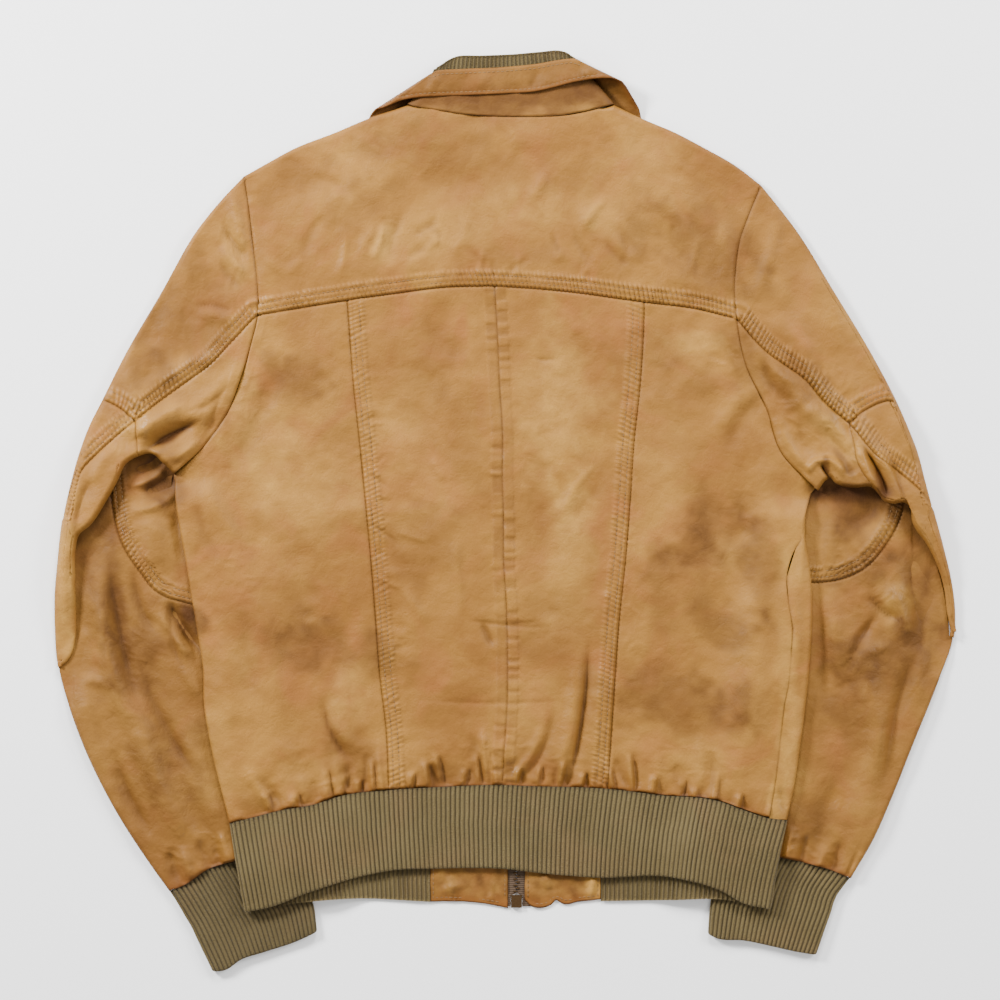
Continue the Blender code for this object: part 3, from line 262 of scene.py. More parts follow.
def roll(points, toward, rolled, layer, under, angles=OVER):
    """Carries a panel round its folded edge, from the inside out, as x, y, z and how far it faces up."""
    way = inward(points, toward)
    rolled = np.broadcast_to(rolled, len(points))[:, None]
    start = points + way * 3.0
    top, bottom = layer(*start.T)[:, None], under(*start.T)[:, None]
    middle, half = (top + bottom) / 2, (top - bottom) / 2
    radius = half * 1.15
    columns = []
    for angle in angles:
        turn = math.radians(angle)
        plan = points + way * radius * (1 - math.cos(turn))
        slack = np.minimum(radius, 2) * 0.45 * math.radians(abs(angle - angles[-1]))
        on_flat = points + way * (0.15 + slack)
        flat_z = (layer if angles[0] > 0 else under)(*on_flat.T)[:, None]
        place = rolled * np.hstack([plan, middle + half * math.sin(turn)])
        place = place + (1 - rolled) * np.hstack([on_flat, flat_z])
        facing = rolled * max(0, math.sin(turn)) + (1 - rolled)
        columns.append(np.hstack([place, facing]))
    return np.stack(columns, axis=1)


def panel(first, last, low, high, layer, bands=(), across=(2.0, 1.0), along=(1.05, 1.0)):
    """A panel's grid of x, y, z and how far it faces up. A band rolls or curls one of its sides."""
    u = spread((reach_of(low)[-1] + reach_of(high)[-1]) / 2, *across)
    v = spread((reach_of(first)[-1] + reach_of(last)[-1]) / 2, *along)
    sides = {"first": first, "last": last, "low": low, "high": high}
    made = {}
    for side, make in dict(bands).items():
        made[side] = make(spaced(sides[side], v if side in ("first", "last") else u))
        sides[side] = made[side][:, 0, :2]
    for side in ("first", "last", "high", "low"):
        if side not in made:
            continue
        beside = ("low", "high") if side in ("first", "last") else ("first", "last")
        for k, other in zip((0, -1), beside):
            end = {"start" if side in ("first", "low") else "end": sides[side][k]}
            sides[other] = trimmed(sides[other], **end)
    plan = coons(spaced(sides["first"], v), spaced(sides["last"], v), spaced(sides["low"], u),
                 spaced(sides["high"], u))
    grid = np.dstack([plan, layer(plan[..., 0], plan[..., 1]), np.ones(plan.shape[:2])])
    if "first" in made:
        grid = np.concatenate([made["first"][:, :0:-1], grid], axis=1)
    if "last" in made:
        grid = np.concatenate([grid, made["last"][:, 1:]], axis=1)
    if "high" in made:
        grid = np.concatenate([grid, made["high"].transpose(1, 0, 2)[1:]], axis=0)
    if "low" in made:
        grid = np.concatenate([made["low"].transpose(1, 0, 2)[:0:-1], grid], axis=0)
    return grid


def ripple(s, size, seed):
    """Uneven waves along a line, between -1 and 1."""
    heights = np.random.default_rng(seed).uniform(-1, 1, 512)
    k = np.floor(s / size).astype(int)
    t = smooth(s / size - k)
    return heights[k % 512] * (1 - t) + heights[(k + 1) % 512] * t


def rumple(x, y, size, seed):
    """Uneven bumps over a plane, between -1 and 1."""
    heights = np.random.default_rng(seed).uniform(-1, 1, (64, 64))
    i, j = np.floor(x / size).astype(int), np.floor(y / size).astype(int)
    u, v = smooth(x / size - i), smooth(y / size - j)
    low = heights[i % 64, j % 64] * (1 - u) + heights[(i + 1) % 64, j % 64] * u
    high = heights[i % 64, (j + 1) % 64] * (1 - u) + heights[(i + 1) % 64, (j + 1) % 64] * u
    return low * (1 - v) + high * v


def to_line(points, line):
    """How far points lie from a line, and how far along it."""
    line = line[::4] if len(line) > 60 else line
    start, ahead = line[:-1], np.diff(line, axis=0)
    length = np.linalg.norm(ahead, axis=1)
    reach = np.concatenate([[0], np.cumsum(length)])
    found = []
    for part in np.array_split(points, max(1, len(points) // 4000)):
        off = part[:, None] - start[None]
        t = np.clip((off * ahead).sum(-1) / (length**2), 0, 1)
        apart = np.linalg.norm(off - t[..., None] * ahead, axis=-1)
        best = apart.argmin(axis=1)
        rows = np.arange(len(part))
        found.append(np.stack([apart[rows, best], reach[best] + t[rows, best] * length[best]], axis=1))
    found = np.vstack(found)
    return found[:, 0], found[:, 1]


def creased(x, y, table):
    """Creases, one to a row: x, y of both ends, bow, half width, height, sharpness. Returns the heights,
    and how dark the bottoms of the sharp troughs are. A sharp crease is steep on one side."""
    total, folds = np.zeros_like(x), np.zeros_like(x)
    for x0, y0, x1, y1, bow, width, height, sharp in table:
        run = np.array([x1 - x0, y1 - y0], float)
        length = np.linalg.norm(run)
        along = ((x - x0) * run[0] + (y - y0) * run[1]) / length**2
        off = ((x - x0) * run[1] - (y - y0) * run[0]) / length - bow * 4 * along * (1 - along)
        close = (np.abs(along - 0.5) < 0.75) & (np.abs(off) < 4 * width)
        t, d = along[close], off[close] / width
        ends = smooth((t + 0.12) / 0.42) * smooth((1.12 - t) / 0.42)
        steep = np.where(d > 0, d * (1 + 1.1 * sharp), d * (1 - 0.25 * sharp))
        pinched = np.exp(-1.7 * (np.sqrt(steep**2 + 0.06) - 0.245))
        total[close] += height * ends * ((1 - sharp) * np.exp(-d**2) + sharp * pinched)
        # The bottoms of sharp troughs get painted shade
        if height < 0:
            folds[close] -= 0.6 * height * sharp * ends * np.exp(-(off[close] / 2.0) ** 2)
    return total, folds


def blocky(along, seed):
    """The uneven squared puckers over a pressed seam's allowances."""
    return np.tanh(2.2 * ripple(along, 3.4, seed + 5)) * (0.55 + 0.6 * ripple(along, 33, seed + 6))


# Seams as they look from above, by how far a point lies from them and along them: the edge drops into
# the seam; a turned edge is a raised band that stitches pull into puckers
ROWS_IN = (3.9, 8.6)
PUCKER_ROWS = (1.8, 6.2, 10.8)
PUCKER_PITCH = 3.5
TURNED = {"turned": 0.55, "roped": 0.95}


def seam_form(apart, along, style, seed):
    drift = 0.55 * ripple(along, 11, seed)
    strong = 0.85 + 0.3 * ripple(along, 19, seed + 1)
    wave = np.sin(2 * math.pi * (along / PUCKER_PITCH + drift)) * strong
    slow = ripple(along, 5.5, seed + 2) * (0.6 + 0.5 * ripple(along, 40, seed + 3))
    edge = -0.9 * np.exp(-(apart / 1.1) ** 2)
    if style in TURNED:
        deep = TURNED[style] * strong
        form = edge + 0.8 * (1 - smooth((apart - 11) / 3)) * smooth(apart / 2)
        for number, row in enumerate(PUCKER_ROWS):
            skewed = (along + 0.3 * (apart - row)) / PUCKER_PITCH + drift + 0.42 * number
            form += deep * np.sin(2 * math.pi * skewed) * np.exp(-((apart - row) / 2.0) ** 2)
        for row in ROWS_IN:
            form -= 0.5 * np.exp(-((apart - row) / 0.8) ** 2)
        return form + 0.75 * slow * smooth((apart - 8) / 3) * np.exp(-np.maximum(apart - 11, 0) / 6)
    if style == "close":
        return 0.3 * edge + 0.4 * slow * np.exp(-apart / 7)
    if style == "under":
        return edge - 0.4 * np.exp(-apart / 3) + 0.45 * slow * np.exp(-apart / 6) * smooth(apart / 2)
    if style == "pressed":
        band = 0.55 * (1 - smooth((apart - 7.5) / 1.6)) * smooth(apart / 1.5)
        blocks = 0.5 * blocky(along, seed) * (1 - smooth((apart - 8) / 3)) * smooth(apart / 1.5)
        return 0.5 * edge + band + blocks
    if style == "gathered":
        deep = np.tanh(2.4 * ripple(along, 8.5, seed)) * 0.9 + 0.7 * ripple(along, 3.4, seed + 4)
        strength = 0.75 + 0.4 * ripple(along, 45, seed + 1)
        return edge + 2.3 * strength * deep * np.exp(-((apart / 15) ** 1.5)) * smooth(apart / 2)
    if style == "rimmed":
        row = -0.4 * np.exp(-((apart - 2.6) / 0.7) ** 2)
        return -0.7 * np.exp(-(apart / 0.8) ** 2) + row + 0.25 * wave * np.exp(-((apart - 3) / 2.2) ** 2)
    bumps = 0.5 * (1 - smooth((apart - 6.5) / 2.5)) * smooth(apart / 1.5) * (0.5 + 0.8 * slow)
    return 0.9 * edge + bumps


# Stains and wear on the hide, with painted shade and painted highlights among them. Each row: x, y, half
# width, half height, turn in degrees, strength
# Brown stains, and painted shade on the elbow panels, in hollows and along the forearm folds
BROWN = (
    (152, 205, 58, 38, -20, 0.85), (-60, 285, 60, 22, 12, 0.5), (-165, 262, 34, 14, 28, 0.45),
    (-165, 108, 26, 20, 0, 0.8), (-150, -103, 60, 24, -8, 0.95), (-165, -60, 30, 40, 10, 0.35),
    (-118, -185, 22, 22, 30, 0.6), (-188, -226, 24, 12, 0, 0.35), (-250, 150, 32, 46, -25, 0.6),
    (-318, -55, 18, 60, 5, 0.45), (-290, -110, 26, 40, 0, 0.5), (-262, -190, 30, 40, 15, 0.5),
    (-265, 22, 16, 22, 0, 1.0), (-246, -85, 16, 16, 0, 0.9), (148, 100, 34, 16, -10, 0.45),
    (186, 112, 16, 34, 14, 0.7), (160, -8, 30, 34, 0, 0.8), (176, -88, 34, 18, -12, 0.85),
    (128, -145, 52, 24, -14, 0.8), (185, -150, 30, 16, -5, 0.5), (196, -44, 16, 40, 0, 0.7),
    (126, -60, 16, 44, 0, 0.45), (150, -38, 30, 34, 0, 0.5),
    (236, 94, 18, 30, 40, 0.6), (268, 4, 30, 24, 0, 0.9), (275, -48, 26, 12, 20, 0.6),
    (318, -62, 20, 40, 0, 0.55), (300, -112, 50, 26, 8, 0.8), (265, -150, 26, 44, 0, 0.5),
    (236, -248, 26, 22, 0, 0.55), (-60, 120, 22, 30, 0, 0.3), (-62, -20, 26, 36, 20, 0.4),
    (40, -90, 36, 24, 10, 0.35), (20, -190, 40, 14, 0, 0.4), (-50, -205, 30, 10, 0, 0.5),
    (112, 128, 30, 20, 0, 0.35), (-128, 60, 22, 40, 0, 0.3), (-30, 60, 20, 50, 0, 0.25),
    (250, 206, 18, 30, 35, 0.35), (-280, 105, 20, 24, 20, 0.45), (-112, 235, 34, 16, 12, 0.4),
    (60, 262, 40, 18, -8, 0.3), (20, 200, 40, 12, 0, 0.35),
)
# Pale worn patches, and painted highlights on glossy ridges and spots
PALE = (
    (44, 70, 30, 80, 0, 0.8), (52, -28, 24, 60, -5, 0.6), (-30, 225, 70, 22, 5, 0.55),
    (60, 232, 50, 20, -5, 0.5), (-190, 60, 26, 40, 10, 0.7), (-122, -142, 12, 44, 0, 0.75),
    (-200, -118, 14, 28, 0, 0.55), (150, 132, 26, 9, -10, 0.9), (122, 60, 22, 50, 0, 0.35),
    (222, -150, 9, 90, 3, 0.9), (226, -30, 10, 30, 0, 0.6), (110, 285, 40, 14, -22, 0.6),
    (-110, 290, 36, 12, 24, 0.5), (-344, -20, 7, 70, 2, 0.9), (-343, -85, 7, 40, 0, 0.8),
    (-230, -190, 20, 50, 8, 0.4), (304, -68, 14, 26, -20, 0.9), (280, 150, 14, 40, 30, 0.5),
    (150, -190, 26, 14, 0, 0.45), (-150, -205, 30, 14, 0, 0.45), (20, -150, 50, 20, 0, 0.4),
    (213, -224, 8, 18, 0, 1.5), (217, -190, 6, 30, 2, 0.7), (-96, 210, 9, 16, 10, 0.9),
    (70, 232, 8, 14, -30, 0.8),
    (-210, 205, 12, 30, 0, 0.7), (-298, 62, 12, 20, -30, 0.5), (-80, 90, 18, 50, 0, 0.4),
    (258, 60, 20, 8, -45, 0.8), (-150, 10, 40, 30, 0, 0.45), (170, -30, 16, 30, 0, 0.4),
)
# Painted shade in the hollows under the elbow lips and in deep forearm folds
PAINTED_SHADE = (
    (-258, 61, 15, 4, 31, 0.75), (-271, 22, 13, 4.5, 14, 0.6), (-278, 38, 12, 4, 40, 0.5),
    (-249, -80, 6, 8, 0, 0.8), (290, 28, 4.5, 16, 26, 0.7), (250, 36, 3, 7, 10, 0.7),
    (262, 13, 22, 8, 0, 0.45), (329, -53, 4, 13, -12, 0.5), (264, 38, 3, 12, 35, 0.5),
    (306, -6, 10, 14, 0, 0.3), (-300, -2, 5, 34, -8, 0.25), (-304, -60, 6, 40, 8, 0.2),
)
# Glossy spots: smoother leather there, and through the pale mark also a painted highlight
SHINE = (
    (304, -68, 7, 18, -20, 1.0), (286, -100, 9, 12, 20, 0.9), (262, -222, 14, 10, 30, 0.8),
    (212, -222, 6, 18, 0, 1.0), (217, -170, 4, 40, 2, 0.6), (-282, 66, 8, 6, -40, 1.0),
    (252, 88, 7, 20, 40, 1.0), (-125, -70, 5, 26, 0, 0.6), (-212, -20, 5, 20, 5, 0.4),
    (150, 126, 24, 6, -12, 0.7), (-230, 120, 16, 5, 38, 0.8), (-300, 62, 18, 5, 45, 0.8),
    (-196, 216, 6, 18, 0, 0.7), (-238, -252, 22, 8, -25, 0.6), (236, -256, 22, 8, 25, 0.6),
    (-150, 130, 5, 20, 30, 0.3),
)


def blotch(x, y, table):
    total = np.zeros_like(x)
    for cx, cy, half_x, half_y, turn, strength in table:
        c, s = math.cos(math.radians(turn)), math.sin(math.radians(turn))
        wobble = 0.45 * rumple(x, y, 17, 41) + 0.25 * rumple(x, y, 7, 42)
        u = ((x - cx) * c + (y - cy) * s) / half_x
        v = (-(x - cx) * s + (y - cy) * c) / half_y
        total += strength * smooth(1.35 - np.hypot(u, v) + wobble)
    return total


def fill(tree, sockets):
    """Sets or links sockets: each comes with a number, a colour or another node's output."""
    for socket, value in sockets:
        if isinstance(value, bpy.types.NodeSocket):
            tree.links.new(value, socket)
            continue
        opaque = isinstance(value, tuple) and len(socket.default_value) == 4
        socket.default_value = (*value, 1) if opaque else value


def node_of(tree, kind, **settings):
    """A new node, with its inputs set by their names in lower case and joined by underscores."""
    node = tree.nodes.new(f"ShaderNode{kind}")
    fill(tree, [(node.inputs[name.replace("_", " ").title()], value) for name, value in settings.items()])
    return node


def mixed(tree, share, below, above):
    """A colour between two others; each may be a socket or a colour."""
    node = tree.nodes.new("ShaderNodeMix")
    node.data_type = "RGBA"
    fill(tree, zip([node.inputs[name] for name in ("Factor", "A", "B")], (share, below, above)))
    return node.outputs["Result"]


def ramped(tree, value, low, high, bottom=0.0, top=1.0):
    node = node_of(tree, "MapRange", value=value, from_min=low, from_max=high, to_min=bottom, to_max=top)
    return node.outputs["Result"]


def sums(tree, operation, first, second):
    node = tree.nodes.new("ShaderNodeMath")
    node.operation = operation
    fill(tree, zip(node.inputs, (first, second)))
    return node.outputs["Value"]


def times(tree, first, second):
    return sums(tree, "MULTIPLY", first, second)


def noise(tree, place, size, detail=3.0, rough=0.5, bend=0.0):
    """Cloudy noise whose patches are about one size, in millimetres."""
    node = node_of(tree, "TexNoise", vector=place, scale=1000 * (1 / size), detail=detail, roughness=rough,
                   distortion=bend)
    return node.outputs["Fac"]


def painted(tree, name):
    node = tree.nodes.new("ShaderNodeAttribute")
    node.attribute_name = name
    return node.outputs["Fac"]


def position(tree):
    return tree.nodes.new("ShaderNodeTexCoord").outputs["Object"]


def bumped(tree, shader, height, strength, distance):
    bump = node_of(tree, "Bump", strength=strength, distance=distance, height=height)
    tree.links.new(bump.outputs["Normal"], shader.inputs["Normal"])


def finish(tree, shader, **settings):
    """Sets or links the shader's own sockets, by their names joined by underscores."""
    fill(tree, [(shader.inputs[name.replace("_", " ")], value) for name, value in settings.items()])


CAMEL = (0.171, 0.070, 0.0115)
SAND = (0.258, 0.121, 0.0215)
BISCUIT = (0.222, 0.080, 0.0180)
UMBER = (0.086, 0.034, 0.0055)
STRAW = (0.344, 0.181, 0.036)
RUST = (0.150, 0.042, 0.005)
DIRT_AND_SHADE_TINT = (0.040, 0.012, 0.001)


def hide_finish():
    """Aniline hide: uneven dye, darker and paler wear mixed with painted shade and painted highlights,
    grain, and fine wrinkles that catch the light.
    """
    material, tree, shader = new_material("worn_leather")
    place = position(tree)
    small = noise(tree, place, 16, 5, 0.6, 0.4)
    color = mixed(tree, ramped(tree, noise(tree, place, 75, 4, 0.55, 0.6), 0.35, 0.68), CAMEL, SAND)
    rosy = ramped(tree, noise(tree, place, 48, 3, 0.5, 0.8), 0.52, 0.72, 0, 0.7)
    color = mixed(tree, rosy, color, BISCUIT)
    # The pale marks carry painted highlights and the brown marks painted shade, along with real wear and
    # stains
    for mark, low, high, bottom, top, tint in (("pale", 0.3, 0.7, 0.25, 0.75, STRAW),
                                               ("brown", 0.25, 0.75, 0.9, 0.45, UMBER),
                                               ("rust", 0.3, 0.7, 0.5, 0.9, RUST)):
        share = times(tree, painted(tree, mark), ramped(tree, small, low, high, bottom, top))
        color = mixed(tree, share, color, tint)
    # One dark tint for seam dirt and for painted shade in creases, hollows and under the elbow lips
    color = mixed(tree, painted(tree, "dirt"), color, DIRT_AND_SHADE_TINT)
    grain = node_of(tree, "TexVoronoi", vector=place, scale=1000 / 1.25).outputs["Distance"]
    color = mixed(tree, ramped(tree, grain, 0.0, 0.75, 0.10, 0.0), color, UMBER)

    warp = tree.nodes.new("ShaderNodeVectorMath")
    warp.operation = "MULTIPLY_ADD"
    wander = node_of(tree, "TexNoise", vector=place, scale=1000 / 14, detail=2)
    fill(tree, zip(warp.inputs, (wander.outputs["Color"], (0.007, 0.007, 0.007), place)))
    warped = warp.outputs["Vector"]
    network = node_of(tree, "TexVoronoi", vector=warped, scale=1000 / 5.5)
    network.feature = "DISTANCE_TO_EDGE"
    lines = sums(tree, "SUBTRACT", ramped(tree, network.outputs["Distance"], 0.0, 0.16), 1.0)
    lines = times(tree, lines, ramped(tree, noise(tree, place, 34, 3, 0.6), 0.42, 0.62))
    crinkle = sums(tree, "ABSOLUTE", sums(tree, "SUBTRACT", noise(tree, warped, 15), 0.5), 0)
    height = times(tree, lines, 0.06)
    pores = noise(tree, place, 5, 4, 0.55)
    for layer, depth in ((grain, 0.06), (small, 0.9), (pores, 0.24), (crinkle, 1.1)):
        height = sums(tree, "ADD", height, times(tree, layer, depth))
    bumped(tree, shader, height, 1.0, 0.001)

    dull = ramped(tree, small, 0.3, 0.7, 0.58, 0.72)
    dull = sums(tree, "SUBTRACT", dull, times(tree, painted(tree, "shine"), 0.25))
    dull = sums(tree, "ADD", dull, times(tree, painted(tree, "brown"), 0.05))
    finish(tree, shader, Base_Color=color, Roughness=dull, Specular_IOR_Level=0.22, IOR=1.42)
    return material


hide = hide_finish()
thread, thread_tree, thread_shader = new_material("tan_thread")
thread_tan = mixed(thread_tree, noise(thread_tree, position(thread_tree), 2.0), (0.110, 0.052, 0.014),
                   (0.200, 0.110, 0.036))
finish(thread_tree, thread_shader, Base_Color=thread_tan, Roughness=0.7)
STITCH_PITCH = 3.5
STITCH_RADIUS = 0.30


LEAST_FACE = 1e-10
FLOOR_GAP = 0.15
THREAD_GAP = 0.1
THREAD_SIDES = 5


def cloth_mesh(name, grid, marks, ring=False):
    """A mesh through a grid of points in millimetres, with a number on each point for each mark."""
    rows, columns = grid.shape[:2]
    index = np.arange(rows * columns).reshape(rows, columns)
    if ring:
        index = np.hstack([index, index[:, :1]])
    quads = np.stack([index[:-1, :-1], index[:-1, 1:], index[1:, 1:], index[1:, :-1]], axis=-1)
    quads = quads.reshape(-1, 4)
    # Where a panel narrows to nothing its faces have no area, and they are left out
    points = grid.reshape(-1, 3) * MM
    corners = points[quads]
    area = np.linalg.norm(np.cross(corners[:, 2] - corners[:, 0], corners[:, 3] - corners[:, 1]), axis=-1)
    kept, quads = np.unique(quads[area > LEAST_FACE], return_inverse=True)
    quads = quads.reshape(-1, 4)
    mesh = bpy.data.meshes.new(name)
    mesh.vertices.add(len(kept))
    mesh.vertices.foreach_set("co", points[kept].ravel().astype(np.float32))
    mesh.loops.add(quads.size)
    mesh.loops.foreach_set("vertex_index", quads.ravel().astype(np.int32))
    mesh.polygons.add(len(quads))
    mesh.polygons.foreach_set("loop_start", np.arange(0, quads.size, 4, dtype=np.int32))
    mesh.update(calc_edges=True)
    for mark, values in marks.items():
        field = mesh.attributes.new(mark, "FLOAT", "POINT")
        field.data.foreach_set("value", np.asarray(values, np.float32).ravel()[kept])
    mesh.shade_smooth()
    return mesh


def add_piece(name, mesh, material, wall=None):
    piece = bpy.data.objects.new(name, mesh)
    mesh.materials.append(material)
    bpy.context.scene.collection.objects.link(piece)
    if wall:
        thick = piece.modifiers.new("wall", "SOLIDIFY")
        thick.thickness = wall * MM
        thick.offset = 0
    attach(piece, "jacket")
    return piece


def stitches(name, rows):
    """Rows of lockstitch: short threads that rise from the leather and dive back into it."""
    sides = THREAD_SIDES
    shape = []
    for t, thick, dip in ((-0.40, 0.45, -0.30), (-0.22, 1, 0.0), (0.22, 1, 0.0), (0.40, 0.45, -0.30)):
        radius = thick * STITCH_RADIUS
        for turn in np.arange(sides) * 2 * math.pi / sides:
            shape.append((t, radius * math.cos(turn), radius * math.sin(turn) + dip))
    shape = np.array(shape)
    faces = [list(range(sides))[::-1], list(range(3 * sides, 4 * sides))]
    for low in (0, sides, 2 * sides):
        faces += [[low + k, low + (k + 1) % sides, low + sides + (k + 1) % sides, low + sides + k]
                  for k in range(sides)]
    points, polygons = [], []
    for line, height in rows:
        reach = reach_of(line)
        count = int(reach[-1] / STITCH_PITCH)
        ends = spaced(line, np.arange(count + 1) / count)
        for a, b in zip(ends[:-1], ends[1:]):
            centre, ahead = (a + b) / 2, b - a
            length = np.linalg.norm(ahead)
            ahead = ahead / length
            zs = height(np.stack([a, centre, b]))
            if zs is None:
                continue
            slope = (zs[2] - zs[0]) / length
            spot = np.stack([centre[0] + shape[:, 0] * length * ahead[0] - shape[:, 1] * ahead[1],
                             centre[1] + shape[:, 0] * length * ahead[1] + shape[:, 1] * ahead[0],
                             np.maximum(zs[1] + slope * shape[:, 0] * length + shape[:, 2], THREAD_GAP)],
                            axis=1)
            start = len(points) * len(shape)
            points.append(spot)
            polygons += [[start + k for k in face] for face in faces]
    mesh = bpy.data.meshes.new(name)
    mesh.from_pydata((np.vstack(points) * MM).tolist(), [], polygons)
    mesh.shade_smooth()
    return add_piece(name, mesh, thread)


def sew(name, grid, seams, creases, rests_on, crumple=0.4, rough=(), wall=None, extra=None, more_rows=(),
        depth=1.7, tone=0.0):
    """Gives a panel its seams, creases, stains with painted shade and painted highlights, and thickness, and
    its rows of stitches.

    seams: (line, style, seed); creases: rows for creased(); rough: places with fine wrinkles;
    extra: changes the marks; more_rows: more lines of stitches; tone: how brown the piece is all over, as
    its own colour on some pieces and as painted shade on others.
    """

    def relief(points):
        x, y = points[:, 0], points[:, 1]
        height = depth * creased(x, y, creases)[0]
        height += 1.0 * rumple(x, y, 42, 5) + 0.7 * rumple(x + 7, y, 17, 6) + crumple * rumple(x, y, 8, 7)
        for cx, cy, half_x, half_y, strength in rough:
            spot = smooth(1.3 - np.hypot((x - cx) / half_x, (y - cy) / half_y))
            folds = 1 - 2 * np.abs(rumple(x + 5 * rumple(x, y, 9, 12), y + 5 * rumple(x, y, 9, 13), 7.5, 11))
            height += 2.0 * strength * spot * folds
        for line, style, seed in seams:
            height += seam_form(*to_line(points, line), style, seed)
        return height

    points = grid[..., :2].reshape(-1, 2)
    facing = grid[..., 3].reshape(-1)
    x, y = points[:, 0], points[:, 1]
    z = grid[..., 2].reshape(-1) + relief(points) * facing
    dirt, rust, stain_and_shade = np.zeros_like(x), np.zeros_like(x), np.full_like(x, tone)
    shine = 0.35 * rumple(x, y, 21, 31) + 0.2 * rumple(x, y, 8, 32)
    for line, style, seed in seams:
        apart, along = to_line(points, line)
        dirt += (0.42 + 0.25 * ripple(along, 26, seed + 8)) * np.exp(-(apart / 0.7) ** 2)
        worn = 0.5 + 0.5 * ripple(along, 19, seed + 9)
        shine += (0.9 if style in TURNED else 0.35) * worn * (1 - smooth((apart - 11) / 4))
        if style in TURNED:
            dirt += sum(0.16 * np.exp(-((apart - row) / 0.6) ** 2) for row in ROWS_IN)
        if style == "pressed":
            stain_and_shade += 0.42 * (1 - smooth((apart - 7.6) / 1.5)) * np.clip(0.55 - blocky(along, seed), 0, 1.3)
        if style == "gathered":
            rust += 0.75 * np.exp(-apart / 4)
            dirt += 0.35 * np.exp(-apart / 2)
            # Painted shade in the troughs of the gathers
            low = np.clip(-np.tanh(2.4 * ripple(along, 8.5, seed)) - 0.25, 0, 1)
            stain_and_shade += 0.5 * low * np.exp(-((apart / 14) ** 1.5))
    shine += blotch(x, y, SHINE)
    form, folds = creased(x, y, creases)
    # Painted shade in crease troughs and painted highlights on crease ridges
    valley, ridge = np.clip(-form / 2.0, 0, 1), np.clip(form / 2.0, 0, 1)
    # Painted shade at the bottoms of sharp troughs and in the listed hollows under the lips
    dirt += 0.6 * folds + blotch(x, y, PAINTED_SHADE)
    # Painted shade where the cloth turns away from above, and on pieces that lie flat under the others
    stain_and_shade += 0.35 * (1 - facing)
    marks = {
        "brown": np.clip(blotch(x, y, BROWN) + 0.30 * valley + stain_and_shade, 0, 1.3),
        # Pale: worn patches, with painted highlights on crease ridges and glossy spots
        "pale": np.clip(blotch(x, y, PALE) + 0.35 * ridge + 0.25 * np.clip(shine, 0, 1), 0, 1.1),
        "rust": np.clip(rust, 0, 1),
        "dirt": np.clip(dirt + 0.14 * valley, 0, 0.9),
        "shine": np.clip(shine + 0.4 * ridge, 0, 1),
    }
    if extra:
        extra(marks, x, y)
    z = np.maximum(z, FLOOR_GAP + (wall or 0) / 2)
    cloth = np.concatenate([grid[..., :2], z.reshape(grid.shape[:2] + (1,))], axis=-1)
    piece = add_piece(f"{name}_hide", cloth_mesh(name, cloth, marks), hide, wall)
    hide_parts(name)
    rows = []
    for line, style, seed in seams:
        if style not in TURNED:
            continue
        way = inward(line, grid[grid.shape[0] // 2, grid.shape[1] // 2, :2])
        for row in ROWS_IN:
            rows.append((line + way * row)[3:-3])

    def thread_height(spots):
        base = layer_of(grid, spots)
        return None if base is None else base + relief(spots) + (wall or 0) / 2 + THREAD_GAP

    rows = [(path, thread_height) for path in rows + list(more_rows)]
    sewn = [stitches(f"{name}_stitches", rows)] if rows else []


BESIDE = 2.4


def layer_of(grid, spots):
    """The height of a panel's grid at places on it, from its nearest points, or None beside the panel."""
    flat = grid.reshape(-1, 4)
    flat = flat[flat[:, 3] > 0.5]
    found = []
    for spot in spots:
        apart = (flat[:, 0] - spot[0]) ** 2 + (flat[:, 1] - spot[1]) ** 2
        close = np.argpartition(apart, 4)[:4]
        if apart[close].min() > BESIDE:
            return None
        share = 1 / (apart[close] + 0.01)
        found.append((flat[close, 2] * share).sum() / share.sum())
    return np.array(found)


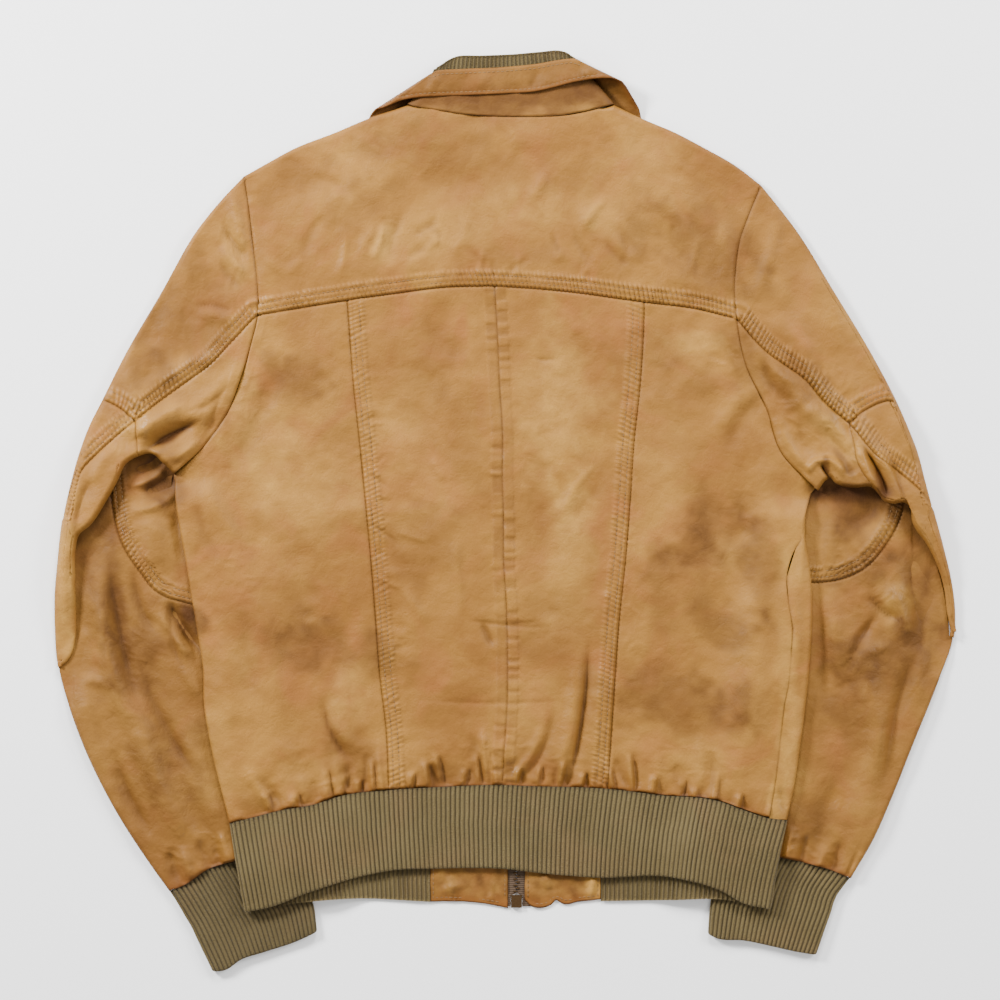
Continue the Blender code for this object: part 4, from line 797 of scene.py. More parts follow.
arm_line = {side: curve(ARMHOLE[side]) for side in SIGN}
shoulder_line = {side: curve(SHOULDER[side]) for side in SIGN}
yoke_line = curve(YOKE_SEAM)
neck_line = curve(NECK_SEAM)
top_edge = np.vstack([shoulder_line["left"][::-1][:-1], neck_line[:-1], shoulder_line["right"]])
YOKE_CREASES = (
    (-188, 200, -156, 199, 11, 5, 0.8, 0.3), (-61, 222, -49, 212, -2, 3, -0.9, 0.5),
    (-66, 206, -50, 214, 2, 3, 1.0, 0.4), (-100, 222, -112, 200, 2, 4, 0.9, 0.3),
    (37, 214, 42, 196, -3, 4, 0.9, 0.3), (78, 212, 100, 192, 3, 3, -1.0, 0.5),
    (84, 216, 106, 197, 3, 4, 0.9, 0.3), (58, 240, 66, 222, 0, 6, 0.9, 0.2),
    (-60, 292, -165, 232, -8, 16, 1.3, 0.0), (60, 290, 152, 225, 6, 18, 1.4, 0.0),
    (-20, 290, 30, 292, -4, 10, 0.9, 0.0), (-70, 260, 20, 268, 6, 14, -1.0, 0.0),
    (-120, 190, -60, 196, 3, 9, 0.8, 0.0), (120, 180, 172, 172, -3, 8, 0.9, 0.0),
    (-176, 236, -186, 172, 3, 8, 0.9, 0.1), (172, 226, 170, 172, -3, 8, 0.9, 0.1),
    (-20, 184, -17, 204, 0, 3, 0.8, 0.3), (-8, 182, -10, 196, 0, 2.5, -0.6, 0.4),
    (8, 183, 12, 200, 0, 3, 0.7, 0.3), (60, 180, 66, 194, 0, 3, 0.6, 0.3),
    (130, 250, 160, 214, 4, 5, -0.7, 0.3), (-150, 262, -120, 246, -3, 5, -0.7, 0.3),
    (-72, 217, -52, 229, 1, 3, -1.2, 0.3), (-76, 199, -58, 211, 1, 3, -1.0, 0.3),
    (-103, 198, -95, 224, 2, 3.5, 1.4, 0.3), (-90, 196, -80, 232, -2, 4, -0.9, 0.4),
    (54, 220, 67, 196, 2, 3, -1.0, 0.2), (62, 222, 79, 244, -2, 4, 1.2, 0.3),
    (36, 216, 43, 201, 0, 3, -1.2, 0.5), (18, 243, 31, 265, 2, 5, 1.0, 0.1),
    (-40, 200, -30, 232, 3, 5, 0.9, 0.2), (-14, 186, -30, 206, 2, 3, -0.7, 0.2),
    (2, 184, 20, 198, -2, 3, -0.7, 0.2), (96, 196, 88, 224, 2, 4, -0.9, 0.2),
    (142, 184, 150, 214, 2, 4, 1.0, 0.2), (-130, 184, -124, 216, 2, 4, 1.0, 0.2),
    (-158, 196, -142, 232, -3, 5, -0.9, 0.3),
)


def yoke_edge(points):
    aside = np.minimum(points[:, 0] + 76, 85 - points[:, 0])
    return roll(points, (0, 200), smooth(1 - (aside + 1) / 14), back_layer, front_layer)


yoke = panel(stretch(arm_line["left"], YOKE_SEAM[0], ARMHOLE["left"][0]),
             stretch(arm_line["right"], YOKE_SEAM[-1], ARMHOLE["right"][0]),
             yoke_line, top_edge, back_layer, {"high": yoke_edge}, across=(0.95, 0.95), along=(2.4, 0.95))
sew("back_yoke", yoke,
    ((yoke_line, "roped", 1), (arm_line["left"], "under", 2), (arm_line["right"], "under", 3),
     (neck_line, "close", 4)), YOKE_CREASES, ["front_left", "front_right"],
    rough=((-55, 218, 16, 14, 0.25), (60, 205, 22, 20, 0.22), (-120, 215, 26, 18, 0.16),
           (150, 195, 22, 26, 0.2)))


# ----------------------------------------
# Back centre panels
# Two long panels joined at the centre back by a plain pressed seam, and topstitched
# beside the seams to the side panels. The rib draws their lower ends into gathers.
# ----------------------------------------
PRINCESS = {
    "left": ((-123, 165), (-118.5, 104), (-113, 51), (-108.5, 4), (-104.5, -37), (-101.5, -76), (-97, -133),
             (-93, -166), (-90.5, -217)),
    "right": ((108.5, 163.5), (108, 141), (105, 95), (101, 59), (98, 16), (94, -36), (89, -84), (86, -125),
              (83, -170), (80, -216)),
}
CENTRE_BACK = ((-8, 176), (-5.5, 133), (-4, 97), (-2, 62), (-2, 26), (-1, -5), (-1, -36), (1.5, -80),
               (2, -125), (1.5, -155), (-1, -192), (-2, -213))
HEM_BACK = ((-215, -242.5), (-197, -238), (-173, -232), (-150.5, -228.5), (-126, -221), (-90.5, -217),
            (-50, -214.5), (-2, -213), (22, -214), (49, -214.5), (80, -216), (122.5, -221), (168, -225.5),
            (186, -232), (204, -238), (220, -240))
# Each gather: x at the rib, lean, length
GATHERS = ((-180, -4, 14), (-162, 3, 10), (-135, -2, 24), (-125.6, 4, 18), (-112, 1, 12), (-100.6, -1, 26),
           (-71, 2, 14), (-56, -4, 20), (-46.5, -5, 26), (-30, 2, 14), (-17.4, -3, 26), (12, 1, 14),
           (27, 3, 16), (45, 4, 20), (62, 2, 12), (87.6, -4, 18), (103, -3, 30), (118, 2, 16), (139, 3, 16),
           (151, 1, 12), (165, 4, 26), (184, 2, 14))


def gather(x, lean, length):
    """A trough and the ridge beside it, up from the rib."""
    y = -214 - 24 * (abs(x) / 200) ** 2.2
    return ((x + lean, y + length, x, y + 1, 0, 2.1, -1.9, 0.45),
            (x + lean - 3, y + length, x - 3, y + 1, 0, 2.8, 1.9, 0.1))


BACK_CREASES = tuple(row for place in GATHERS for row in gather(*place)) + (
    (44, -4, 72, 39, -3, 4, 1.0, 0.3), (52, -12, 78, 24, -3, 5, -0.8, 0.2),
    (-57, 42, -46, 24, 1, 3, 0.9, 0.3), (-38, -20, -32, -84, 2, 4, 0.9, 0.1),
    (-93, -34, -60, -86, 3, 5, 0.9, 0.1), (-86, -14, -57, -22, 2, 3, 0.6, 0.3),
    (-18, -86, -9, -106, 1, 3, -1.1, 0.4), (-25, -85, 31, -90, 1, 2.6, -0.8, 0.5),
    (34, -82, 44, -60, 0, 6, -0.7, 0.0), (65, -108, 49, -214, -3, 3.4, -2.4, 0.7),
    (57, -104, 40, -214, -4, 6, 1.7, 0.1), (74, -120, 62, -214, -3, 8, 1.2, 0.0),
    (-17, -168, -15, -213, 0, 3.5, 1.5, 0.3), (-24, -175, -24, -213, 0, 4, -1.1, 0.3),
    (-56, -196, -49, -215, 1, 3.5, -1.6, 0.4), (-63, -192, -58, -215, 1, 4, 1.2, 0.2),
    (38, -155, 6, -213, -7, 4, -1.3, 0.3), (30, -160, -1, -213, -7, 4.5, 1.2, 0.1),
    (41, -196, 39, -215, 0, 3, -1.4, 0.4), (86, -190, 98, -216, 2, 4, -1.2, 0.3),
    (80, -188, 90, -216, 2, 4, 1.1, 0.1), (152, -176, 153, -222, 0, 4, 1.3, 0.2),
    (160, -186, 163, -224, 0, 4, -1.3, 0.3), (118, -190, 124, -220, 0, 5, 1.0, 0.1),
    (132, -196, 136, -222, 0, 3.5, -1.0, 0.3), (-63, -147, 44, -147.5, 2, 2.2, -0.4, 0.6),
    (4, -87, 27, -86, 0, 2, -0.5, 0.5), (-16, -88, -10, -104, 0, 2.4, -0.7, 0.4),
    (23, 120, 40, 119.5, 1, 2, -0.6, 0.5), (-143, -146, -122, -194, 4, 4, -2.0, 0.6),
    (-145, -141, -112, -186, 6, 6, 1.2, 0.0), (-122, -196, -126, -219, 0, 3.5, -1.6, 0.3),
    (-130, -190, -134, -220, 0, 4, 1.2, 0.1), (-99, -186, -100, -217, 0, 3, 1.4, 0.3),
    (-108, -190, -110, -217, 0, 3.2, -1.2, 0.3), (-192, -206, -175, -227, 0, 4, -1.5, 0.3),
    (-200, -200, -186, -228, 0, 5, 1.2, 0.1), (-160, -204, -155, -228, 0, 4, 1.1, 0.1),
    (-150, -208, -146, -226, 0, 3, -1.1, 0.3), (-125, -124, -127, -160, 0, 7, 1.1, 0.0),
    (202, 92, 173, 47, 4, 7, -1.6, 0.1), (192, 96, 164, 54, 4, 8, 1.2, 0.0),
    (154, 132, 150, 108, 0, 8, 0.8, 0.0), (190, -60, 197, -185, 3, 12, 1.4, 0.0),
    (212, -40, 208, -120, 2, 8, -1.0, 0.0), (176, 10, 186, -60, -3, 10, -0.9, 0.0),
    (200, 40, 216, -10, 3, 7, 1.2, 0.1), (-190, 120, -232, 40, -4, 8, 1.1, 0.0),
    (-176, 118, -214, 30, -4, 8, -1.1, 0.0), (-232, 30, -205, -24, 6, 7, 1.2, 0.1),
    (-240, 10, -222, -40, 3, 5, -1.0, 0.2), (-222, -90, -214, -180, -3, 9, 1.1, 0.0),
    (-204, -60, -196, -150, 2, 10, -1.0, 0.0), (-150, 60, -140, -30, 4, 12, 0.8, 0.0),
    (-30, 60, -44, -60, 4, 16, 1.0, 0.0), (40, 100, 52, -60, -4, 15, 1.1, 0.0),
    (24, 30, 30, -90, 2, 10, -0.8, 0.0), (-66, 110, -60, 10, 2, 10, -0.7, 0.0),
    (140, 60, 132, -60, 3, 14, 0.8, 0.0), (-75, -30, -70, -120, 0, 8, 0.6, 0.0),
    (-160, -60, -176, -130, 2, 10, -0.8, 0.0), (120, -60, 128, -150, 0, 12, -0.8, 0.0),
    (-60, 150, -30, 120, 4, 8, -0.6, 0.0), (-103, -10, -84, -24, 0, 2.4, -0.6, 0.4),
    (-100, -50, -82, -60, 0, 2.4, 0.6, 0.3), (-106, 30, -90, 18, 0, 2.4, -0.5, 0.4),
    (-112, 66, -98, 52, 0, 2.4, 0.5, 0.4),
)
BACK_ROUGH = ((-96, -30, 12, 70, 0.26), (-84, -120, 14, 50, 0.2), (-104, 60, 12, 40, 0.2),
              (100, -60, 12, 90, 0.16), (-205, -40, 16, 40, 0.2), (190, 0, 22, 40, 0.16),
              (0, -190, 90, 24, 0.2), (140, -195, 60, 22, 0.2), (-150, -200, 60, 22, 0.22),
              (-200, 90, 22, 34, 0.18), (30, 60, 30, 70, 0.10), (170, 110, 20, 30, 0.2))

princess_line = {side: curve(PRINCESS[side]) for side in SIGN}
centre_line = curve(CENTRE_BACK)
hem_line = curve(HEM_BACK)

for side, seed in (("left", 11), ("right", 21)):
    princess = princess_line[side]
    grid = panel(princess, centre_line, stretch(yoke_line, PRINCESS[side][0], CENTRE_BACK[0]),
                 stretch(hem_line, PRINCESS[side][-1], CENTRE_BACK[-1]), back_layer)
    sew(f"back_centre_{side}", grid,
        ((princess, "turned", seed), (centre_line, "pressed", seed + 1), (yoke_line, "under", seed + 2),
         (hem_line, "gathered", 77)), BACK_CREASES, [f"front_{side}"], rough=BACK_ROUGH)

# ----------------------------------------
# Back side panels
# From the armhole and the side to the princess seam. The left one turns round the
# body's edge to the front; on the right the front comes round onto the back.
# ----------------------------------------
BODY = {
    "left": ((-258.5, 29.5), (-257, 9), (-253, -16), (-248, -44), (-244, -69), (-239.5, -96), (-235.5, -122),
             (-235, -147), (-228, -189), (-221, -218), (-215, -242.5)),
    "right": ((244, 17), (237.5, 8), (234, -19.5), (237, -39), (239, -56), (239.5, -86), (237, -126),
              (233, -161.5), (230, -184), (226, -211), (220, -240)),
}
SIDE_SEAM = ((238.8, 14.5), (233, -6), (231, -21), (227, -27), (219.5, -51), (221, -71), (224.5, -90.5),
             (223.5, -105), (221, -136), (218, -150), (215, -176), (210, -214), (206, -237.5))


def body_side(side):
    """Down the armhole from the yoke, and on down the edge of the body."""
    return np.vstack([stretch(arm_line[side], ARMHOLE[side][4], ARMHOLE[side][-1])[:-1], curve(BODY[side])])


def turned_below(side):
    return lambda points: smooth((ARMPIT_Y[side] - 2 - points[:, 1]) / 7)


left_edge = body_side("left")
grid = panel(left_edge, princess_line["left"], stretch(yoke_line, YOKE_SEAM[0], PRINCESS["left"][0]),
             stretch(hem_line, HEM_BACK[0], PRINCESS["left"][-1]), back_layer,
             {"first": lambda points: roll(points, (0, -100), turned_below("left")(points), back_layer,
                                           front_layer)})
sew("back_side_left", grid,
    ((princess_line["left"], "under", 31), (yoke_line, "under", 32), (hem_line, "gathered", 77),
     (stretch(arm_line["left"], YOKE_SEAM[0], ARMHOLE["left"][-1]), "plain", 33)),
    BACK_CREASES, ["front_left", "left_forearm"], rough=BACK_ROUGH)

seam_side = curve(SIDE_SEAM)
right_edge = np.vstack([stretch(arm_line["right"], YOKE_SEAM[-1], ARMHOLE["right"][-1])[:-2], seam_side])
grid = panel(right_edge, princess_line["right"], stretch(yoke_line, YOKE_SEAM[-1], PRINCESS["right"][0]),
             stretch(hem_line, (206, -237.5), PRINCESS["right"][-1]), back_layer)
sew("back_side_right", grid,
    ((princess_line["right"], "under", 41), (yoke_line, "under", 42), (hem_line, "gathered", 77),
     (seam_side, "close", 43),
     (stretch(arm_line["right"], YOKE_SEAM[-1], ARMHOLE["right"][-1]), "plain", 44)),
    BACK_CREASES, ["front_right", "right_forearm"], rough=BACK_ROUGH)

# ----------------------------------------
# Fronts
# They lie face down on the board under the back, and the zip joins them. The right
# one comes round the body's edge onto the back as a narrow strip.
# ----------------------------------------
NECKLINE = {
    "left": ((-76, 317.5), (-64, 284), (-36, 250), (2.6, 236)),
    "right": ((85, 317.5), (76, 284), (50, 250), (15.4, 236)),
}
HEM_FRONT = {
    "left": ((-215, -242.5), (-130, -244), (-59, -243.5), (2.4, -244)),
    "right": ((220, -240), (140, -243), (75, -243.5), (15.6, -244)),
}
# How far the pieces that lie on the board stay in from the folded edges above them
UNDER_INSET = 4.5
STRIP_CREASES = (
    (226, -60, 228, -120, 0, 4, 0.9, 0.1), (232, -20, 230, -60, 0, 3, 0.8, 0.2),
    (214, -214, 218, -236, 0, 3.5, -1.0, 0.3), (222, -140, 226, -190, -2, 4, 0.8, 0.1),
)


def round_to_back(points):
    """Round the right edge of the body from below, and across the back as far as the side seam."""
    turned = turned_below("right")(points)
    band = roll(points, (0, -100), turned, back_layer, front_layer, UNDER)
    start = band[:, -1, :2]
    reach = np.maximum(start[:, 0] - x_on(SIDE_SEAM, start[:, 1]), 0.4) * turned
    strip = []
    for step in np.linspace(0, 1, 11)[1:]:
        spot = start - np.c_[reach * step, 0 * reach]
        z = turned * back_layer(*spot.T) + (1 - turned) * band[:, -1, 2]
        strip.append(np.c_[spot, z, turned])
    return np.concatenate([band, np.stack(strip, axis=1)], axis=1)


for side in SIGN:
    top = np.vstack([shoulder_line[side][::-1][:-1], curve(NECKLINE[side])])
    top = top + inward(top, (0, 0)) * UNDER_INSET * smooth((top[:, 1] - 250) / 10)[:, None]
    edge = np.vstack([stretch(arm_line[side], ARMHOLE[side][0], ARMHOLE[side][4])[:-1], body_side(side)])
    middle = straight(NECKLINE[side][-1], HEM_FRONT[side][-1])
    if side == "left":
        inset = inward(edge, (0, -100)) * (0.5 + UNDER_INSET * turned_below("left")(edge)[:, None])
        grid = panel(edge + inset, middle, top, curve(HEM_FRONT[side]), front_layer,
                     across=(9, 4), along=(5, 5))
        seams, creases = (), ()
    else:
        grid = panel(edge, middle, top, curve(HEM_FRONT[side]), front_layer, {"first": round_to_back},
                     across=(12, 5), along=(1.7, 1.7))
        seams = ((stretch(seam_side, (231, -21), SIDE_SEAM[-1]), "close", 51),)
        creases = STRIP_CREASES + BACK_CREASES
    up = np.where(grid[..., 2] > 3.2, grid[..., 3], 0)
    sew(f"front_{side}", np.concatenate([grid[..., :3], up[..., None]], -1), seams, creases, ["floor"])

# ----------------------------------------
# Sleeves
# Each is folded at its outer edge and bent at the elbow, where the upper part lies
# over the forearm as a lip. Cap, wedge, under-arm and elbow fold show above it;
# the elbow panel and forearm below; one long piece lies flat under them all.
# ----------------------------------------
SLEEVE_EDGE = {
    "left": ((-204, 262), (-222, 243), (-239, 222), (-268, 172), (-297, 122), (-314, 88), (-325, 66),
             (-332, 47), (-339, 22), (-345, -6), (-348.5, -36), (-351, -66), (-351, -90), (-348.6, -121),
             (-340, -153), (-331, -178), (-307, -228), (-275, -278), (-262, -296)),
    "right": ((200, 255), (213, 239), (226, 222), (257, 172), (287, 122), (307, 83.5), (315, 65), (322, 47),
              (328, 24), (333, 5), (342, -28), (348, -53), (351, -78), (350, -98), (340, -128), (320, -178),
              (300, -228), (289, -253), (270, -286)),
}
DIAGONAL = {
    "left": ((-193.5, 153.5), (-212, 134), (-230, 115), (-246, 103), (-260, 93), (-288, 71), (-304, 58),
             (-318, 45), (-330, 32), (-336, 14), (-341, -4)),
    "right": ((181, 150.5), (193, 136), (205, 124), (219, 114), (233, 104), (251, 83.5), (268, 69),
              (288.6, 45), (308, 30), (327, 12.5), (332, 5)),
}
ELBOW = {"left": (-288, 71), "right": (268, 69)}
CROSS = {
    "left": ((-314, 88), (-302, 82), (-288, 71)),
    "right": ((307, 83.5), (300, 86.6), (292, 85), (285.5, 82), (276, 76), (268, 69)),
}
SHORT = {
    "left": ((-288, 71), (-287, 58), (-286, 44)),
    "right": ((268, 69), (272, 53), (274, 41), (278, 32), (285.5, 21)),
}
LIP = {
    "left": ((-258, 30), (-266, 38), (-276, 46), (-286, 44), (-296, 38), (-303, 24), (-312, 8), (-324, -10),
             (-333, -18), (-335.5, -28), (-336, -47), (-335.5, -73), (-336, -99), (-338.5, -110),
             (-343, -117), (-347.6, -120)),
    "right": ((244, 17), (250, 25), (254, 27), (257, 24), (262, 21), (274, 19.5), (285.5, 20), (292, 14),
              (296, 9), (303, 7), (311, 8), (316, 5), (318.5, -8), (321.5, -14), (329, -24), (338, -42),
              (343.5, -61), (345.5, -78), (349, -94)),
}
CURVED = {
    "left": ((-310, 38), (-308, 17), (-304, -9), (-299.5, -23), (-292.5, -36), (-283, -49), (-274.5, -60),
             (-265, -66), (-252, -70), (-244, -72), (-224, -72.5)),
    "right": ((311, 20), (310.5, 3), (306, -10), (298, -24), (289, -36), (279, -45), (269, -50), (254, -54),
              (239, -55), (224, -54)),
}
KNEE = {"left": (-283, -49), "right": (279, -45)}
HIDDEN = {
    "left": ((-310, 38), (-328, 14), (-339, -14), (-343, -50), (-344, -95), (-346.5, -113)),
    "right": ((311, 20), (321, 6), (332, -22), (340, -50), (345, -75), (347.5, -98)),
}
ELBOW_TOP = {
    "left": ((-310, 38), (-292, 53), (-275, 56), (-263, 44)),
    "right": ((311, 20), (294, 30), (268, 37), (250, 31)),
}
CUFF_TOP = {
    "left": ((-262, -296), (-250, -291), (-230, -278), (-209, -272), (-172, -262)),
    "right": ((270, -286), (253, -279), (235, -274), (217, -270), (172, -262)),
}
UPPER_CREASES = {
    "left": (
        (-213, 250, -205, 205, 0, 5, 1.5, 0.1), (-218, 222, -201, 198, 2, 3.4, -1.3, 0.4),
        (-220, 208, -202, 186, 2, 4, 1.2, 0.2), (-222, 196, -206, 174, 2, 3, -1.0, 0.4),
        (-242, 160, -214, 156, -3, 2.6, -0.9, 0.5), (-240, 153, -212, 148, -3, 5, 0.9, 0.1),
        (-236, 230, -250, 170, 4, 9, 1.2, 0.0), (-252, 190, -280, 130, 4, 10, -1.0, 0.0),
        (-200, 120, -262, 60, -5, 10, 1.8, 0.0), (-224, 122, -288, 90, 4, 7, 1.0, 0.0),
        (-282, 46, -240, 70, -2, 6, -3.6, 0.3), (-286, 60, -248, 84, -2, 7, 2.6, 0.1),
        (-300, 66, -276, 62, 0, 6, 1.2, 0.1),
        (-262, 40, -238, 56, 1, 5, 1.6, 0.2), (-296, 118, -270, 64, 4, 8, 1.4, 0.0),
        (-330, 30, -342, -50, 2, 6, 1.4, 0.1), (-322, 24, -334, -12, 3, 4, -1.4, 0.3),
        (-305, 50, -322, 20, 3, 5, 1.0, 0.1), (-345, -20, -342, -90, 0, 4, 1.0, 0.0),
        (-222, 90, -232, 60, 0, 4, -0.9, 0.3), (-215, 100, -244, 78, -3, 4, -1.0, 0.3),
    ),
    "right": (
        (213, 236, 196, 170, -4, 6, 1.1, 0.0), (226, 210, 222, 150, -4, 9, -0.9, 0.0),
        (238, 190, 262, 130, -5, 11, 1.3, 0.0), (204, 150, 240, 120, -4, 8, 1.2, 0.1),
        (194, 132, 226, 100, 4, 5, 1.0, 0.1), (200, 118, 222, 84, 3, 5, -1.2, 0.2),
        (216, 108, 250, 66, 3, 6, 1.5, 0.1), (232, 121, 264, 78, 2, 4, 0.9, 0.2),
        (212, 74, 236, 34, 3, 5, 1.2, 0.1), (230, 72, 236, 44, 2, 5, -1.0, 0.2),
        (236, 31, 247, 42, -2, 3, 1.5, 0.1), (247, 42, 264, 29, -3, 3.4, 1.6, 0.1),
        (246, 38, 256, 24, 1, 2.4, -2.3, 0.7), (250, 62, 272, 40, 1, 5, -1.0, 0.2),
        (240, 84, 276, 36, -2, 6, 1.3, 0.1), (276, 56, 291, 18, 3, 3.6, 1.6, 0.2),
        (280, 48, 297, 11, -3, 2.8, -2.5, 0.7), (287, 50, 309, 7, -3, 3.8, 1.9, 0.2),
        (298, 44, 313, 6, 0, 4, -1.2, 0.4),
        (258, 84, 300, 24, -3, 6, 1.0, 0.0), (318, 0, 336, -50, -2, 5, 1.2, 0.1),
        (334, -10, 346, -60, -2, 4, 0.9, 0.0), (300, 76, 318, 40, -3, 7, 1.1, 0.0),
    ),
}
LOWER_CREASES = {
    "left": (
        (-292, 20, -264, 36, 3, 3.2, 1.4, 0.2), (-288, 33, -266, 45, 3, 3.2, -1.2, 0.3),
        (-284, 15, -256, 28, 2, 4.2, -1.8, 0.3), (-290, 1, -256, 15, 3, 4.5, 1.5, 0.2),
        (-276, 0, -266, -44, 2, 11, 1.3, 0.0), (-258, 4, -252, -40, 0, 4, -0.8, 0.1),
        (-318, -50, -296, -160, 4, 9, 2.3, 0.1), (-308, -44, -286, -150, 3, 6, -2.2, 0.35),
        (-296, -140, -244, -258, 4, 11, 2.2, 0.1), (-262, -70, -238, -108, 2, 4, -2.2, 0.4),
        (-290, -48, -272, -96, 4, 5, -1.7, 0.35), (-262, -74, -252, -122, 3, 3.5, -1.6, 0.4),
        (-284, -120, -240, -206, 5, 6, -1.9, 0.3), (-304, -190, -276, -252, 3, 5, -1.6, 0.35),
        (-268, -78, -246, -112, 2, 4, 1.8, 0.2), (-258, -96, -236, -150, 2, 6, 1.5, 0.1),
        (-330, -120, -300, -222, 3, 9, 1.2, 0.0), (-322, -150, -290, -236, 3, 6, -1.1, 0.1),
        (-270, -180, -222, -266, 3, 9, -1.2, 0.0), (-250, -170, -214, -250, 3, 9, 1.0, 0.0),
        (-252, -262, -244, -286, 0, 4, 1.3, 0.2), (-240, -256, -230, -280, 0, 3.5, -1.3, 0.3),
        (-222, -250, -214, -274, 0, 4, 1.2, 0.2), (-262, -264, -256, -290, 0, 4, -1.0, 0.2),
        (-276, -110, -262, -150, 3, 6, -0.9, 0.1), (-330, -130, -312, -134, 0, 5, 0.7, 0.1),
    ),
    "right": (
        (300, -2, 276, -30, -3, 6, 1.2, 0.1), (290, 8, 262, -16, -3, 7, -1.0, 0.0),
        (258, -4, 250, -44, 0, 6, 1.0, 0.0), (312, -30, 326, -110, -4, 9, -2.0, 0.25),
        (300, -58, 314, -100, -4, 8, 2.0, 0.1), (262, -84, 292, -196, -6, 11, 2.0, 0.1),
        (284, -64, 306, -84, 3, 3.5, -1.3, 0.4), (290, -80, 268, -126, 3, 4, -1.3, 0.35),
        (252, -60, 262, -130, 0, 6, 1.0, 0.1), (246, -70, 252, -160, 2, 6, -1.1, 0.1),
        (336, -70, 322, -150, 4, 8, 1.6, 0.1), (326, -100, 296, -210, 5, 6, -1.8, 0.3),
        (306, -150, 276, -250, 4, 10, 1.3, 0.0), (262, -200, 244, -268, 3, 8, -1.1, 0.1),
        (250, -262, 242, -282, 0, 4, 1.2, 0.2), (236, -252, 230, -276, 0, 3.5, -1.2, 0.3),
        (224, -246, 220, -272, 0, 4, 1.1, 0.2), (262, -256, 256, -282, 0, 4, -1.1, 0.2),
        (280, -110, 300, -104, 0, 5, 0.8, 0.1), (284, -124, 262, -140, 2, 6, -0.8, 0.1),
    ),
}
UPPER_ROUGH = {
    "left": ((-212, 200, 14, 40, 0.28), (-240, 150, 20, 20, 0.18), (-300, 60, 24, 26, 0.2),
             (-250, 80, 20, 16, 0.2), (-330, -30, 14, 60, 0.22)),
    "right": ((250, 80, 36, 40, 0.26), (286, 36, 26, 20, 0.26), (225, 100, 24, 34, 0.2),
              (270, 150, 26, 60, 0.12)),
}
LOWER_ROUGH = {
    "left": ((-266, 6, 24, 24, 0.22), (-260, -90, 26, 24, 0.26), (-300, -110, 40, 60, 0.16),
             (-240, -260, 40, 24, 0.24), (-270, -200, 40, 40, 0.14)),
    "right": ((270, -30, 30, 30, 0.2), (300, -80, 40, 50, 0.2), (262, -150, 30, 70, 0.14),
              (246, -262, 40, 22, 0.24)),
}
UPPER_RISE = {"shoulder": 1.5, "elbow": 3.4, "lip": 5.0, "on_forearm": 2.2}
LIP_REACH = 17
FOREARM_Z = 2.6
FOREARM_RISE = 4.2
CURL = (90, 74, 58, 42, 26, 10, -8, -28)
CURL_RADIUS = 3.2
CURL_GAP = 1.3
CURL_DROP = 0.72
LIP_FADE = {"left": 50, "right": 5}
# How much painted shade browns each forearm all over
FOREARM_SHADE = {"left": 0.55, "right": 0.3}


def upper_layer(side):
    """The height of the sleeve above the elbow, which rises to its lip and fades onto the forearm."""
    lower, lip = lower_layer(side), curve(LIP[side])

    def height(x, y):
        x, y = np.asarray(x, float), np.asarray(y, float)
        away = smooth((x_on(ARMHOLE[side], y) - x) * SIGN[side] / 34)
        apart = to_line(np.stack([x.ravel(), y.ravel()], 1), lip)[0].reshape(x.shape)
        raised = BACK_Z + UPPER_RISE["shoulder"] * smooth((240 - y) / 60) * away
        raised = raised + UPPER_RISE["elbow"] * smooth((150 - y) / 95) * away
        raised = raised + UPPER_RISE["lip"] * np.exp(-(apart / LIP_REACH) ** 2) * smooth((y + 30) / 40)
        on_forearm = lower(x, y) + UPPER_RISE["on_forearm"]
        return raised + (on_forearm - raised) * smooth((-LIP_FADE[side] - y) / 60)
    return height


def lower_layer(side):
    """The height of the forearm, low where it runs under the lip and along its outer edge."""
    lip = curve(LIP[side])
    order = np.argsort(lip[:, 0])

    def height(x, y):
        below = np.interp(x, lip[order, 0], lip[order, 1]) - y
        clear = np.maximum(smooth((334 - np.abs(x)) / 26), smooth((-118 - y) / 40))
        return FOREARM_Z + FOREARM_RISE * smooth(below / 60) * clear
    return height


def flat_layer(x, y):
    return np.full(np.shape(x), FRONT_Z)


def curl(points, toward, layer, under):
    """Rounds a lip's edge over and down into the hollow under it."""
    way = inward(points, toward)
    top = layer(*(points + way * 3).T)
    drop = top - under(*points.T) - CURL_GAP
    columns = []
    for angle in CURL[::-1]:
        turn = math.radians(angle)
        plan = points + way * CURL_RADIUS * (1 - math.cos(turn))
        z = top - drop * (1 - max(math.sin(turn), -0.5)) * CURL_DROP
        columns.append(np.c_[plan, z, np.full(len(z), max(0.0, math.sin(turn)))])
    return np.stack(columns[::-1], axis=1)


def deepen(marks, most, **added):
    """Adds to a panel's marks by name, up to a most for each of them."""
    for name, values in added.items():
        marks[name] = np.clip(marks[name] + values, 0, most)


def in_shade(line):
    """Painted shade on the elbow panel and forearm deep under the lip."""
    def add(marks, x, y):
        deep = np.exp(-(to_line(np.c_[x, y], line)[0] / 10) ** 2) * smooth((y + 60) / 60)
        deepen(marks, 0.9, dirt=0.6 * deep)
        marks["shine"] = marks["shine"] * (1 - deep)
    return add


